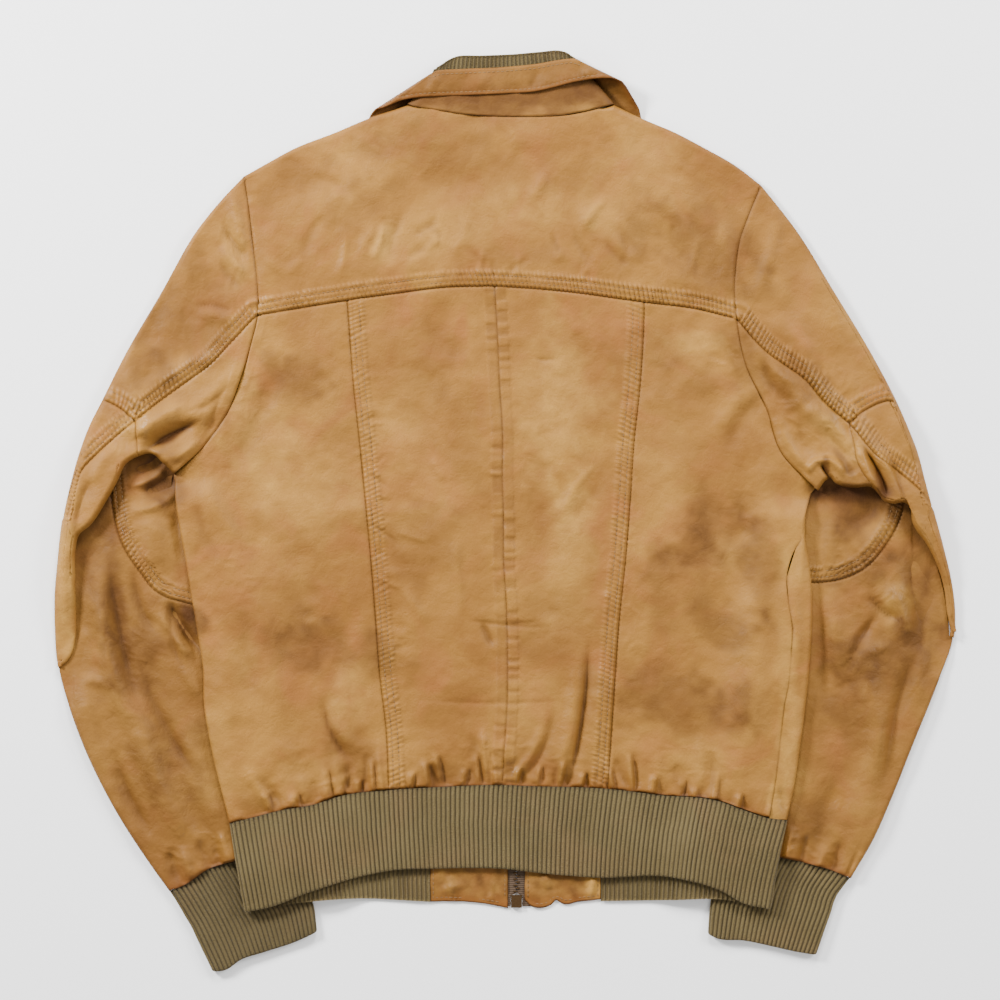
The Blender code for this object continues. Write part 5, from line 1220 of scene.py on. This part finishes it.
for side in SIGN:
    seed = 100 if side == "left" else 200
    upper, lower = upper_layer(side), lower_layer(side)
    outline = curve(SLEEVE_EDGE[side])
    diagonal, cross, short = curve(DIAGONAL[side]), curve(CROSS[side]), curve(SHORT[side])
    lip, curved = curve(LIP[side], 0.8), curve(CURVED[side])
    tip, crossing, edge_end, strip_end = (SLEEVE_EDGE[side][k] for k in (0, 5, 9, 13))
    corner, armpit = SHORT[side][-1], ARMHOLE[side][-1]
    arm_upper = stretch(arm_line[side], tip, DIAGONAL[side][0])
    arm_lower = stretch(arm_line[side], DIAGONAL[side][0], armpit)
    diagonal_top = stretch(diagonal, DIAGONAL[side][0], ELBOW[side])
    upper_creases = {"rough": UPPER_ROUGH[side], "depth": 2.2}

    def folded(layer, x, y, angles=OVER):
        """A band that rolls an edge of this sleeve over to the board, inward to this place."""
        return lambda points: roll(points, (SIGN[side] * x, y), 1.0, layer, flat_layer, angles)

    # Cap
    grid = panel(stretch(outline, tip, crossing), diagonal_top, arm_upper, cross, upper,
                 {"first": folded(upper, -200, 0)})
    sew(f"{side}_sleeve_cap", grid,
        ((diagonal_top, "roped", seed), (cross, "turned", seed + 1), (arm_upper, "plain", seed + 2)),
        UPPER_CREASES[side], [f"{side}_sleeve_front"], **upper_creases)

    # Wedge
    diagonal_end = stretch(diagonal, ELBOW[side], edge_end)
    outer = stretch(outline, crossing, edge_end)
    grid = panel(outer, diagonal_end, cross, straight(outer[-1], diagonal_end[-1]), upper,
                 {"first": folded(upper, -200, 0)})
    sew(f"{side}_sleeve_wedge", grid, ((diagonal_end, "roped", seed + 3), (cross, "under", seed + 4)),
        UPPER_CREASES[side], [f"{side}_sleeve_front"], **upper_creases)

    # Under-arm
    grid = panel(arm_lower, short, diagonal_top, stretch(lip, armpit, corner), upper,
                 {"high": lambda points: curl(points, ELBOW[side], upper, lower)}, across=(1.4, 0.95))
    sew(f"{side}_sleeve_underarm", grid,
        ((diagonal_top, "under", seed + 5), (short, "plain", seed + 6), (arm_lower, "plain", seed + 7)),
        UPPER_CREASES[side], [f"{side}_elbow_panel"], wall=LEATHER_WALL, **upper_creases)

    # Elbow fold: its outer edge rolls over only past the end of the diagonal seam
    outer = np.vstack([diagonal_end[:-1], stretch(outline, edge_end, strip_end)])
    shares = smooth((reach_of(outer) - reach_of(diagonal_end)[-1] + 2) / 8)

    def strip_edge(points):
        rolled = shares[[near(outer, point) for point in points]]
        return roll(points, (SIGN[side] * -200, -60), rolled, upper, flat_layer)

    def lip_edge(points):
        return curl(points, (SIGN[side] * -345, 60), upper, lower)

    lip_outer = stretch(lip, corner, LIP[side][-1])
    grid = panel(outer, lip_outer, short, straight(outer[-1], lip_outer[-1]), upper,
                 {"first": strip_edge, "last": lip_edge})
    sew(f"{side}_sleeve_fold", grid, ((diagonal_end, "under", seed + 8), (short, "plain", seed + 9)),
        UPPER_CREASES[side], [f"{side}_forearm"], wall=LEATHER_WALL, **upper_creases)

    # Forearm
    inner = curve(SLEEVE_INNER[side])
    knee_end, cuff_top = CURVED[side][-1], curve(CUFF_TOP[side])
    outer = np.vstack([curve(HIDDEN[side])[:-1], stretch(outline, strip_end, SLEEVE_EDGE[side][-1])])
    grid = panel(outer, stretch(inner, knee_end, CUFF_TOP[side][-1]), curved, cuff_top, lower,
                 {"first": folded(lower, -200, -100), "last": folded(lower, -300, -150, HALF)})
    sew(f"{side}_forearm", grid, ((curved, "under", seed + 10), (cuff_top, "gathered", seed + 11)),
        LOWER_CREASES[side], [f"{side}_sleeve_front"], rough=LOWER_ROUGH[side], tone=FOREARM_SHADE[side],
        extra=in_shade(lip), depth=2.6)

    # Elbow panel
    low_top, knee = curve(ELBOW_TOP[side]), KNEE[side]
    hidden_edge = stretch(inner, ELBOW_TOP[side][-1], knee_end).copy()
    hidden_edge[:, 0] += SIGN[side] * 11 * smooth((hidden_edge[:, 1] + 45) / 40)
    grid = panel(stretch(curved, CURVED[side][0], knee), hidden_edge, low_top,
                 stretch(curved, knee, knee_end), lower, {"last": folded(lower, -300, 0, HALF)})
    # The elbow panel is browned all over as painted shade under the lip
    sew(f"{side}_elbow_panel", grid, ((curved, "roped", seed + 12),), LOWER_CREASES[side],
        [f"{side}_sleeve_front"], rough=LOWER_ROUGH[side], tone=0.4, extra=in_shade(lip), depth=2.4)

    # The piece that lies on the board
    hem_out = outline + inward(outline, (SIGN[side] * -200, 0)) * UNDER_INSET
    inner_low = np.vstack([arm_lower[:-1], stretch(inner, SLEEVE_INNER[side][1], CUFF_TOP[side][-1])])
    grid = panel(hem_out, inner_low, arm_upper, cuff_top, flat_layer, across=(8, 4), along=(5, 5))
    grid[..., 3] = 0
    sew(f"{side}_sleeve_front", grid, (), (), ["floor"])

# ----------------------------------------
# Rib knit: cuffs
# Doubled rib, knitted as a tube: round wales with narrow grooves between them.
# Each cuff is sewn to the gathered end of its sleeve and spreads towards its edge.
# ----------------------------------------
RIB_PITCH = 3.62
RIB_DEPTH = 1.45
# Where each wale has its points, as shares of its width
WALE = (0.0, 0.13, 0.31, 0.5, 0.69, 0.87)
CUFF_LOW = 1.2
CUFF_HIGH = 4.8
CUFF_SPREAD = 1.0
# How much darker each cuff's wales are painted
CUFF_WALE_DARKENING = {"left": 0.28, "right": 0.04}
CUFF_END = {
    "left": ((-228, -359), (-218, -357.6), (-206, -349.5), (-189.5, -344), (-164.6, -336), (-147, -328)),
    "right": ((243, -345.8), (226, -343), (208, -339), (186, -334.5), (166, -333), (159, -330)),
}
CUFF_OUTER = {
    "left": ((-262, -296), (-250, -315), (-235.5, -343), (-228, -359)),
    "right": ((270, -286), (259, -300), (253, -318), (243, -345.8)),
}
CUFF_INNER = {
    "left": ((-172, -262), (-160, -286), (-150.5, -305), (-147, -328)),
    "right": ((172, -262), (166, -284), (161, -305), (159, -330)),
}


def knit_finish():
    """Khaki rib knit: a fuzzy surface of small loops, with painted shade in the grooves between the wales.
    """
    material, tree, shader = new_material("khaki_rib")
    place = position(tree)
    fuzz = noise(tree, place, 1.3, 4, 0.7)
    cloudy = ramped(tree, noise(tree, place, 40), 0.3, 0.7)
    color = mixed(tree, cloudy, (0.076, 0.053, 0.017), (0.110, 0.080, 0.030))
    color = mixed(tree, ramped(tree, noise(tree, place, 90, 2, 0.5, 1.5), 0.5, 0.7, 0.0, 0.8), color,
                  (0.112, 0.071, 0.026))
    color = mixed(tree, ramped(tree, fuzz, 0.35, 0.75, 0.0, 0.5), color, (0.146, 0.108, 0.044))
    color = mixed(tree, painted(tree, "dirt"), color, (0.018, 0.012, 0.005))
    loops = node_of(tree, "TexVoronoi", vector=place, scale=1000 / 1.1).outputs["Distance"]
    bumped(tree, shader, sums(tree, "ADD", loops, fuzz), 0.8, 0.0006)
    finish(tree, shader, Base_Color=color, Roughness=0.9, Specular_IOR_Level=0.2, Sheen_Weight=0.08,
           Sheen_Roughness=0.5)
    return material


knit = knit_finish()


def normals_of(grid, ring=False):
    if ring:
        wide = np.concatenate([grid[:, -1:], grid, grid[:, :1]], axis=1)
        across = np.gradient(wide, axis=1)[:, 1:-1]
    else:
        across = np.gradient(grid, axis=1)
    found = np.cross(across, np.gradient(grid, axis=0))
    return found / np.maximum(np.linalg.norm(found, axis=-1, keepdims=True), 1e-9)


def wale_shares(length, pitch):
    ribs = round(length / pitch)
    return (np.arange(ribs)[:, None] + np.array(WALE)).ravel() / ribs


def rib_sheet(name, lines, rows, ring=False, outside=1, pitch=RIB_PITCH, wall=None, grime=0.0):
    """A rib band between lines (3-D, one for each height of the band), with its wales across it."""
    lengths = [reach_of(line)[-1] for line in lines]
    shares = wale_shares(np.mean(lengths), pitch)
    if not ring:
        shares = np.append(shares, 1.0)
    sections = np.stack([spaced(line, shares) for line in lines])
    steps = np.concatenate([[0, 0.006], np.linspace(0.02, 0.975, rows - 4), [0.99, 1]])
    at_line = steps * (len(lines) - 1)
    low = np.minimum(at_line.astype(int), len(lines) - 2)
    t = (at_line - low)[:, None, None]
    base = sections[low] * (1 - t) + sections[low + 1] * t
    normals = normals_of(base, ring) * outside
    phase = np.array(WALE)[np.arange(len(shares)) % len(WALE)]
    wale = np.abs(np.sin(math.pi * phase)) ** 0.9
    x, y = base[..., 0], base[..., 1]
    column = np.arange(len(shares)) / len(WALE)
    uneven = 0.85 + 0.25 * ripple(column, 1.0, 61)[None] + 0.12 * rumple(x, y, 9, 62)
    ends = smooth(steps / 0.03)[:, None] * smooth((1 - steps) / 0.02)[:, None]
    lift = RIB_DEPTH * (wale[None] * uneven - 0.62) * (0.45 + 0.55 * ends)
    lift -= 1.0 * (1 - smooth((1 - steps) / 0.016))[:, None]
    drawn = (1 - smooth(steps / 0.35))[:, None]
    lift += 0.45 * rumple(x, y, 34, 63) + 0.5 * ripple(column, 4.1, 64)[None] * drawn
    shape = base + normals * lift[..., None]
    drift = 0.35 * ripple(steps * 9, 1.0, 65)[:, None] * ripple(column, 6.0, 66)[None]
    shape[..., 0] += drift
    shape[..., 2] = np.maximum(shape[..., 2], FLOOR_GAP)
    groove = np.broadcast_to(1 - smooth(wale / 0.85), x.shape)
    sewn_edge_darkening = np.exp(-steps / 0.02)[:, None]
    # Painted shade in the grooves between the wales; darker along the sewn edge, and on the wales by the
    # given amount
    marks = {"dirt": np.clip(0.8 * groove + 0.5 * sewn_edge_darkening + grime * (1 - groove), 0, 0.95)}
    piece = add_piece(f"{name}_knit", cloth_mesh(name, shape, marks, ring), knit, wall)
    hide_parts(name)


for side in SIGN:
    edges = [spaced(curve(table[side]), np.linspace(0, 1, count)) for table, count in
             ((CUFF_OUTER, 9), (CUFF_INNER, 9), (CUFF_TOP, 60), (CUFF_END, 60))]
    lines = []
    for number, row in enumerate(coons(*edges)):
        open_end = smooth(number / 8)
        high, low = CUFF_HIGH + CUFF_SPREAD * open_end, CUFF_LOW
        half = (high - low) / 2
        length = reach_of(row)[-1]
        radius = half * 1.2
        turns = np.radians([70, 50, 30, 10, -10, -30, -50, -70])
        inset = radius * (1 - np.cos(turns))
        flat = np.linspace(radius, length - radius, 60)
        reach = np.concatenate([flat, length - inset, flat[::-1], inset[::-1], flat[:1]])
        z = np.concatenate([np.full(60, high), (high + low) / 2 + half * np.sin(turns), np.full(60, low),
                            (high + low) / 2 - half * np.sin(turns), [high]])
        spots = np.stack([np.interp(reach, reach_of(row), row[:, k]) for k in (0, 1)], axis=1)
        lines.append(np.c_[spots, z])
    rib_sheet(f"{side}_cuff", lines, 28, ring=True, outside=-SIGN[side],
              grime=CUFF_WALE_DARKENING[side])

# ----------------------------------------
# Collar
# A leather stand round the neck, the rib collar inside it, and the leather fall
# turned over the stand; at the back they stand up on edge and look out at the top.
# ----------------------------------------
# Each row is a station round the neck, from the left of the zip to its right: x, y, z of the neck seam,
# of the middle and of the top edge
STAND = (
    (2.4, 236.6, 3.0, -0.5, 251, 2.9, -3.5, 263.5, 2.8), (-36, 250.7, 2.8, -34, 265, 2.8, -31, 279.5, 2.8),
    (-63.5, 284.6, 2.8, -58.5, 295, 2.8, -53, 306, 2.8),
    (-73.2, 314.2, 2.8, -66, 321, 2.8, -61.5, 330.5, 2.8),
    (-75.8, 317.9, 4.6, -69.3, 323.6, 4.6, -64.6, 333, 4.6),
    (-75.8, 318.1, 8.0, -69.3, 323.9, 8.0, -64.6, 333.4, 8.0),
    (-72.6, 316.9, 9.7, -66, 323.8, 9.7, -60.5, 334.5, 9.7),
    (-58, 314.4, 9.7, -54, 327, 9.7, -49.5, 340.2, 9.7), (-38, 311, 9.3, -37, 327, 9.2, -36, 341.8, 9.1),
    (-12, 308.8, 7.8, -12, 326, 7.8, -12, 343.0, 7.8), (20, 308.5, 7.8, 19, 328, 7.8, 18, 345.2, 7.8),
    (48, 309.8, 9.6, 45, 330, 9.6, 42, 348.2, 9.6), (67, 313.4, 9.7, 60.5, 331, 9.7, 53.5, 348.2, 9.7),
    (81.4, 317.2, 9.7, 70.5, 330.5, 9.7, 59.5, 344, 9.7),
    (84.6, 318.1, 8.0, 73.8, 330.8, 8.0, 62.6, 343.6, 8.0),
    (84.6, 317.9, 4.6, 73.8, 330.5, 4.6, 62.6, 343.2, 4.6),
    (81, 314.6, 2.8, 70.5, 327, 2.8, 59.6, 340.4, 2.8), (73.8, 281.6, 2.8, 67, 293, 2.8, 59.8, 305.5, 2.8),
    (50.5, 250.8, 2.8, 48, 265, 2.8, 45, 279.5, 2.8), (15.6, 236.6, 3.0, 18.5, 251, 2.9, 21.5, 263.5, 2.8),
)
RIB_ROUND = (
    (3, 238.5, 5.25, 0, 260, 5, -4, 281, 5), (-34.5, 252.8, 5, -31, 272, 5, -27, 289, 5),
    (-60.5, 286, 5, -55, 300, 5, -49, 313, 5), (-70, 312, 5, -60, 327, 5, -50.2, 342, 5),
    (-72, 314.6, 6.25, -62.4, 329, 6.25, -54.5, 344.2, 6.25),
    (-70, 314.8, 7.5, -60.5, 329.5, 7.5, -52.4, 346.2, 7.5),
    (-57, 311.8, 7.5, -51, 331, 7.5, -46.5, 351.0, 7.4),
    (-38, 308.9, 6.8, -38, 331, 6.6, -38.2, 355.2, 6.5), (-14, 307, 5.6, -16, 331, 5.6, -18, 356.0, 6.0),
    (8, 306.6, 5.6, 7, 331, 5.6, 6, 357, 6.0), (32, 307.4, 5.8, 30, 332, 5.7, 27, 358.8, 6.2),
    (50, 308.8, 7.2, 46, 333, 7.2, 42, 359.8, 7.2), (66, 311.8, 7.5, 57, 334, 7.5, 49.5, 357.4, 7.5),
    (77.2, 314.7, 7.5, 64.4, 331, 7.5, 55.0, 353, 7.5),
    (79.4, 314.4, 6.25, 66.4, 330, 6.25, 57.0, 351, 6.25), (77.2, 312, 5, 64.4, 327, 5, 55.0, 348.5, 5),
    (73, 286, 5, 64, 300, 5, 56, 313, 5), (49, 252.8, 5, 45, 272, 5, 41, 289, 5),
    (15, 238.5, 5.25, 18, 260, 5, 22, 281, 5),
)
# The same stations: x, y, z of the free edge and of the fold over the stand
FALL = (
    (-14, 226, 0.8, -4, 266.5, 0.8), (-58, 238, 0.8, -29.5, 283, 0.8), (-94, 274, 0.8, -50.3, 307, 0.8),
    (-103.5, 301, 0.8, -54.5, 324, 0.8), (-105.2, 309.5, 1.2, -56.6, 338.4, 0.8),
    (-101.9, 313.4, 4.0, -57.9, 341.0, 3.6), (-97.6, 315.0, 9.0, -57.9, 341.3, 9.4),
    (-94.4, 315.4, 12.4, -56.8, 341.6, 12.0), (-83, 320.2, 13.0, -53, 343.4, 12.2),
    (-71, 322.8, 12.8, -47, 344.2, 12.0), (-56, 324, 12.2, -39, 344.6, 11.7),
    (-30, 325, 11.2, -22, 345.4, 10.6), (2, 326.6, 10.4, 4, 346.9, 9.9), (24, 328, 11.2, 26, 349.1, 10.7),
    (40, 331.5, 12.8, 41, 351.7, 11.8), (55, 335.2, 14.6, 50, 352.8, 12.1),
    (69, 337.4, 16.8, 55.5, 352.6, 12.5), (82.5, 337.6, 18.2, 59.4, 350.4, 12.4),
    (88.6, 336.0, 16.8, 60.8, 350.0, 9.4), (93.6, 332.0, 13.2, 60.8, 349.4, 3.6),
    (99.6, 322.8, 8.0, 57.6, 346.4, 0.8), (105.8, 310.4, 2.0, 56.4, 329, 0.8),
    (106.6, 301, 0.8, 56.4, 318, 0.8), (104, 281, 0.8, 56.9, 307, 0.8), (72, 240, 0.8, 42.6, 283, 0.8),
    (32, 226, 0.8, 22.5, 266.5, 0.8),
)


def stations(table, parts):
    """The smooth 3-D lines through a table's stations, one for each of its parts."""
    table = np.array(table, float).reshape(len(table), parts, 3)
    reach = reach_of(table[:, parts // 2])
    return [through(table[:, k], reach, [24] * (len(table) - 1)) for k in range(parts)]


def across_lines(lines, count, along):
    """A grid between smooth lines; along is how many points each line gets."""
    place = np.linspace(0, len(lines[0]) - 1, along)
    fixed = np.stack([np.stack([np.interp(place, np.arange(len(line)), line[:, k]) for k in range(3)], -1)
                      for line in lines])
    t = np.linspace(0, len(lines) - 1, count)
    low = np.minimum(t.astype(int), len(lines) - 2)
    part = (t - low)[:, None, None]
    return fixed[low] * (1 - part) + fixed[low + 1] * part


def upward(grid, sign):
    normals = normals_of(grid) * sign
    return np.concatenate([grid, np.clip(normals[..., 2:] * 1.2, 0, 1)], axis=-1)


def stand_marks(marks, x, y):
    """Painted shade where the fall covers the stand, and wrinkles worn pale below it."""
    covered = smooth((y - 314 - 0.02 * x) / 9)
    deepen(marks, 1, dirt=0.35 * covered)
    deepen(marks, 1.2, brown=0.8 * covered + 0.7 * rumple(x, y, 9, 302))
    deepen(marks, 1.1, pale=0.4 * (1 - covered))


STAND_CREASES = ((-52, 318, -44, 328, 0, 3, 0.5, 0.2), (48, 318, 60, 330, 0, 4, -0.7, 0.3),
                 (10, 312, 14, 324, 0, 4, 0.5, 0.1), (-30, 314, 30, 315, 0, 3, -0.5, 0.1))
stand_grid = across_lines(stations(STAND, 3), 20, 340)
# The stand is browned all over as painted shade under the fall
sew("collar_stand", upward(stand_grid, -1), ((neck_line, "plain", 301),), STAND_CREASES, ["back_yoke"],
    wall=LEATHER_WALL, extra=stand_marks, tone=0.7)
rib_lines = stations(RIB_ROUND, 3)
for line in rib_lines:
    line[:, 2] -= 1.0 * smooth((335 - line[:, 1]) / 30)
rib_sheet("rib_collar", rib_lines, 26, outside=-1, pitch=3.5, wall=0.8)

free, fold = stations(FALL, 2)
inward_way = (free - fold) / np.linalg.norm((free - fold)[:, :2], axis=1)[:, None]
lies_low = smooth((5 - fold[:, 2]) / 4)[:, None]
fold_lines = [free]
for share in (0.8, 0.55, 0.3):
    fold_lines.append(fold + (free - fold) * share + np.array([0, 0, 0.8]) * (1 - lies_low) * (1 - share))
for turn in (60, 30, 0, -40):
    c, s = math.cos(math.radians(turn)), math.sin(math.radians(turn))
    rim = fold + inward_way * 2.4 * (1 - c)
    rim[:, 2] += (1 - 2 * lies_low[:, 0]) * (s - 0.9) * 1.9 + 0.9 * (1 - lies_low[:, 0])
    fold_lines.append(rim)
fall_grid = across_lines(fold_lines, 34, 420)
free_plan = free[(free[:, 2] > 5) & (free[:, 1] > 300)][:, :2]
fold_plan = fold[(fold[:, 2] > 5) & (fold[:, 1] > 300)][:, :2]


def fall_marks(marks, x, y):
    """Leather worn red along the fall's free edge."""
    rim = to_line(np.c_[x, y], free_plan)[0]
    deepen(marks, 1, rust=0.5 * np.exp(-(rim / 3.2) ** 2))
    deepen(marks, 1.2, brown=0.35 * np.exp(-(rim / 7) ** 2))


def inside_row(line, toward, apart, trim=3, above=-400):
    row = (line + inward(line, toward) * apart)[trim:-trim]
    return row[row[:, 1] > above]


FALL_CREASES = ((-40, 328, 40, 333, 0, 4, -0.5, 0.2), (-60, 326, -52, 340, 0, 4, 0.8, 0.1),
                (60, 340, 70, 346, 0, 4, 0.7, 0.1), (20, 330, 26, 344, 0, 3, -0.6, 0.3),
                (72, 340, 84, 336, 0, 4, 0.8, 0.1), (-20, 330, -16, 342, 0, 4, 0.5, 0.1))
sew("collar_fall", upward(fall_grid, 1), ((free_plan, "rimmed", 311),), FALL_CREASES, ["collar_stand"],
    wall=LEATHER_WALL, extra=fall_marks, tone=0.7, crumple=0.6,
    more_rows=(inside_row(free_plan, (0, 340), 2.6, above=318),
               inside_row(fold_plan, (0, 330), 3.0, above=318)))

# ----------------------------------------
# Rib hem
# One doubled rib band from tab to tab round the waist: across the back, round both
# sides and along the fronts, where it lies under the back.
# ----------------------------------------
HEM_EDGE_BACK = ((-203, -312), (-183, -308), (-154, -297), (-118, -286), (-89, -280), (-55, -278.5),
                 (3, -279), (28, -282), (74, -285.5), (129, -285), (168, -295), (186, -305), (207, -309.5))
HEM_OVER = {"front": 0.3, "back": 0.5}
HEM_EDGE_FRONT = {
    "left": ((-203, -312), (-170, -306), (-120, -302), (-58, -304.5)),
    "right": ((207, -309.5), (168, -302), (130, -303), (75, -304)),
}


def hem_path(back_plan, fronts):
    """One edge of the hem band in 3-D: front, round the left side, back, round the right side, front."""
    parts = []
    for side in SIGN:
        plan = fronts[side]
        front = np.c_[plan, front_layer(plan[:, 0], plan[:, 1]) + HEM_OVER["front"]]
        corner = back_plan[0] if side == "left" else back_plan[-1]
        x0, y0 = corner[0] + SIGN[side] * 3, corner[1]
        top, low = back_layer(x0, y0) + HEM_OVER["back"], front_layer(x0, y0) + HEM_OVER["front"]
        half = (top - low) / 2
        turns = np.radians([-70, -45, -20, 5, 30, 55, 75])
        bend = np.c_[corner[0] + SIGN[side] * half * 1.15 * (1 - np.cos(turns)), np.full(7, corner[1]),
                     (top + low) / 2 + half * np.sin(turns)]
        keep = np.abs(front[:, 0] - corner[0]) > half * 1.15
        parts.append((front[keep][::-1], bend))
    back = np.c_[back_plan, back_layer(back_plan[:, 0], back_plan[:, 1]) + HEM_OVER["back"]]
    back = back[(back[:, 0] > back_plan[0, 0] + 2.6) & (back[:, 0] < back_plan[-1, 0] - 2.6)]
    (front_left, bend_left), (front_right, bend_right) = parts
    return np.vstack([front_left, bend_left, back, bend_right[::-1], front_right[::-1]])


hem_tops = hem_path(hem_line, {side: stretch(curve(HEM_FRONT[side]), HEM_FRONT[side][0], HEM_FRONT[side][2])
                               for side in SIGN})
hem_ends = hem_path(curve(HEM_EDGE_BACK), {side: curve(HEM_EDGE_FRONT[side]) for side in SIGN})
even = np.linspace(0, 1, 900)
hem_tops, hem_ends = spaced(hem_tops, even), spaced(hem_ends, even)
hem_lines = [hem_tops + (hem_ends - hem_tops) * part + np.array([0, 0, 0.9]) * math.sin(math.pi * part)
             * smooth((hem_tops[:, 2:] - 4) / 3) for part in np.linspace(0, 1, 7)]
rib_sheet("hem_rib", hem_lines, 34, outside=-1)

# ----------------------------------------
# Hem tabs
# The ends of the hem at the zip are leather, edged with stitches and bent by wear.
# ----------------------------------------
TAB_LINES = {
    "left": (((-58.5, -243.5), (-30, -244), (2.3, -244)),
             ((-58.5, -304.5), (-45, -304), (-30, -304.5), (-12, -306.5), (2.3, -309.5))),
    "right": (((15.6, -244), (45, -243.5), (75, -243.5)),
              ((15.6, -303), (21, -308), (37, -306), (39.5, -303), (45, -306), (60, -304), (75, -302.5))),
}
TAB_CREASES = ((-44, -284, -40, -300, 0, 3, 1.5, 0.1), (-20, -280, -14, -300, 0, 3, -1.2, 0.3),
               (-30, -292, -52, -298, 2, 3, 1.0, 0.1), (-8, -286, -12, -304, 0, 2.6, 1.2, 0.2),
               (70, -284, 66, -302, 0, 3, 1.6, 0.2), (30, -282, 36, -298, 0, 3, 1.2, 0.1),
               (50, -290, 56, -304, 0, 3, -1.3, 0.3), (24, -296, 46, -290, 2, 2.6, -1.0, 0.3))


def tab_marks(marks, x, y):
    """Mottled leather, worn red at its lower edge and almost white at one spot on the right tab."""
    spot = smooth(1.4 - np.hypot((x - 71) / 8, (y + 293) / 16))
    deepen(marks, 1, rust=0.8 * np.exp(-((y + 306) / 7) ** 2), shine=spot)
    marks["pale"] = np.clip(marks["pale"] + 0.3 + 0.6 * rumple(x, y, 7, 88), 0, 1.1)
    deepen(marks, 1.6, pale=1.2 * spot)
    deepen(marks, 1.2, brown=0.4 * rumple(x, y, 5, 89))
    marks["brown"] = marks["brown"] * (1 - spot)


for side, seed in (("left", 401), ("right", 411)):
    top, low = (curve(places) for places in TAB_LINES[side])
    ends = [straight(top[k], low[k]) for k in (0, -1)]
    grid = panel(*ends, top, low, front_layer, across=(1.5, 1.2), along=(1.6, 1.4))
    grid[..., 2] += 0.5
    outer_end, zip_end = ends if side == "left" else ends[::-1]
    middle = grid[len(grid) // 2, grid.shape[1] // 2, :2]
    sew(f"hem_tab_{side}", grid,
        ((low, "rimmed", seed), (outer_end, "plain", seed + 1), (zip_end, "rimmed", seed + 2)), TAB_CREASES,
        ["floor"], wall=LEATHER_WALL, extra=tab_marks, tone=0.8, crumple=1.1,
        more_rows=(inside_row(low, middle, 3.0), inside_row(outer_end, middle, 2.4, 1),
                   inside_row(zip_end, middle, 2.4, 1)))

# ----------------------------------------
# Zip
# Woven tapes with brass teeth down the front, a box at the bottom, and the slider
# and its pull at the top, all dulled by wear. Only its lower end looks out.
# ----------------------------------------
ZIP_X = 9
CHAIN_LENGTH = 510
LOWEST_TOOTH = -296.5
TOOTH_PITCH = 2.4
TOOTH_SIZE = (3.0, 1.25, 1.7)
TAPE_WIDTH = 10.6
TAPE_ENDS = (-308, 235.5)
TAPE_ROWS = 320
BOX_TOP = -298.4


def brass_finish():
    """Dull brass, with darker and rougher spots of tarnish."""
    material, tree, shader = new_material("dull_brass")
    spots = ramped(tree, noise(tree, position(tree), 2.2, 4, 0.6), 0.35, 0.7)
    color = mixed(tree, spots, (0.140, 0.080, 0.035), (0.055, 0.030, 0.014))
    bumped(tree, shader, spots, 0.3, 0.0001)
    finish(tree, shader, Base_Color=color, Roughness=ramped(tree, spots, 0, 1, 0.32, 0.62), Metallic=1.0)
    return material


def tape_finish():
    """Brown cotton tape, with the ribs of its weave."""
    material, tree, shader = new_material("woven_tape")
    wave = node_of(tree, "TexWave", vector=position(tree), scale=1000 / 5.0, distortion=0.6)
    wave.bands_direction = "Y"
    weave = wave.outputs["Fac"]
    color = mixed(tree, weave, (0.030, 0.016, 0.007), (0.074, 0.040, 0.017))
    bumped(tree, shader, weave, 1.0, 0.0002)
    finish(tree, shader, Base_Color=color, Roughness=0.85)
    return material


brass, tape = brass_finish(), tape_finish()
for name in ("zip_box", "zip_slider", "zip_pull"):
    bpy.data.objects[name].data.materials.clear()
    bpy.data.objects[name].data.materials.append(brass)

for side, sign in (("left", -1), ("right", 1)):
    rows = np.linspace(*TAPE_ENDS, TAPE_ROWS)
    inner = np.where(rows < BOX_TOP, 4.6, 0.5)
    front = front_layer(np.full(TAPE_ROWS, ZIP_X), rows)
    # Inside the jacket the tape lies on the front; at the hem it runs under the tab
    tucked = smooth((-240 - rows) / 8)
    columns = []
    for part in (0, 0.35, 0.5, 1):
        z = front + 0.2 + (1.0 - 1.6 * tucked) * smooth((part - 0.35) / 0.2)
        columns.append(np.c_[ZIP_X + sign * (inner + TAPE_WIDTH * part), rows, np.maximum(z, 0.2)])
    mesh = cloth_mesh(f"zip_tape_{side}", np.stack(columns, 1), {})
    piece = add_piece(f"zip_tape_{side}_weave", mesh, tape)
    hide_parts(f"zip_tape_{side}")

teeth = bmesh.new()
for number in range(int(CHAIN_LENGTH / TOOTH_PITCH)):
    y = LOWEST_TOOTH + number * TOOTH_PITCH
    sign = 1 if number % 2 else -1
    z = front_layer(np.array([ZIP_X]), np.array([y]))[0] + 0.2
    made = bmesh.ops.create_cube(teeth, size=1)["verts"]
    bmesh.ops.scale(teeth, vec=[size * MM for size in TOOTH_SIZE], verts=made)
    bmesh.ops.translate(teeth, vec=((ZIP_X + sign * 0.9) * MM, y * MM, z * MM), verts=made)
tooth_mesh = bpy.data.meshes.new("zip_teeth")
teeth.to_mesh(tooth_mesh)
teeth.free()
chain = add_piece("zip_teeth", tooth_mesh, brass)
edge_round = chain.modifiers.new("rounded", "BEVEL")
edge_round.width = 0.25 * MM
edge_round.segments = 1
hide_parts("zip_chain")
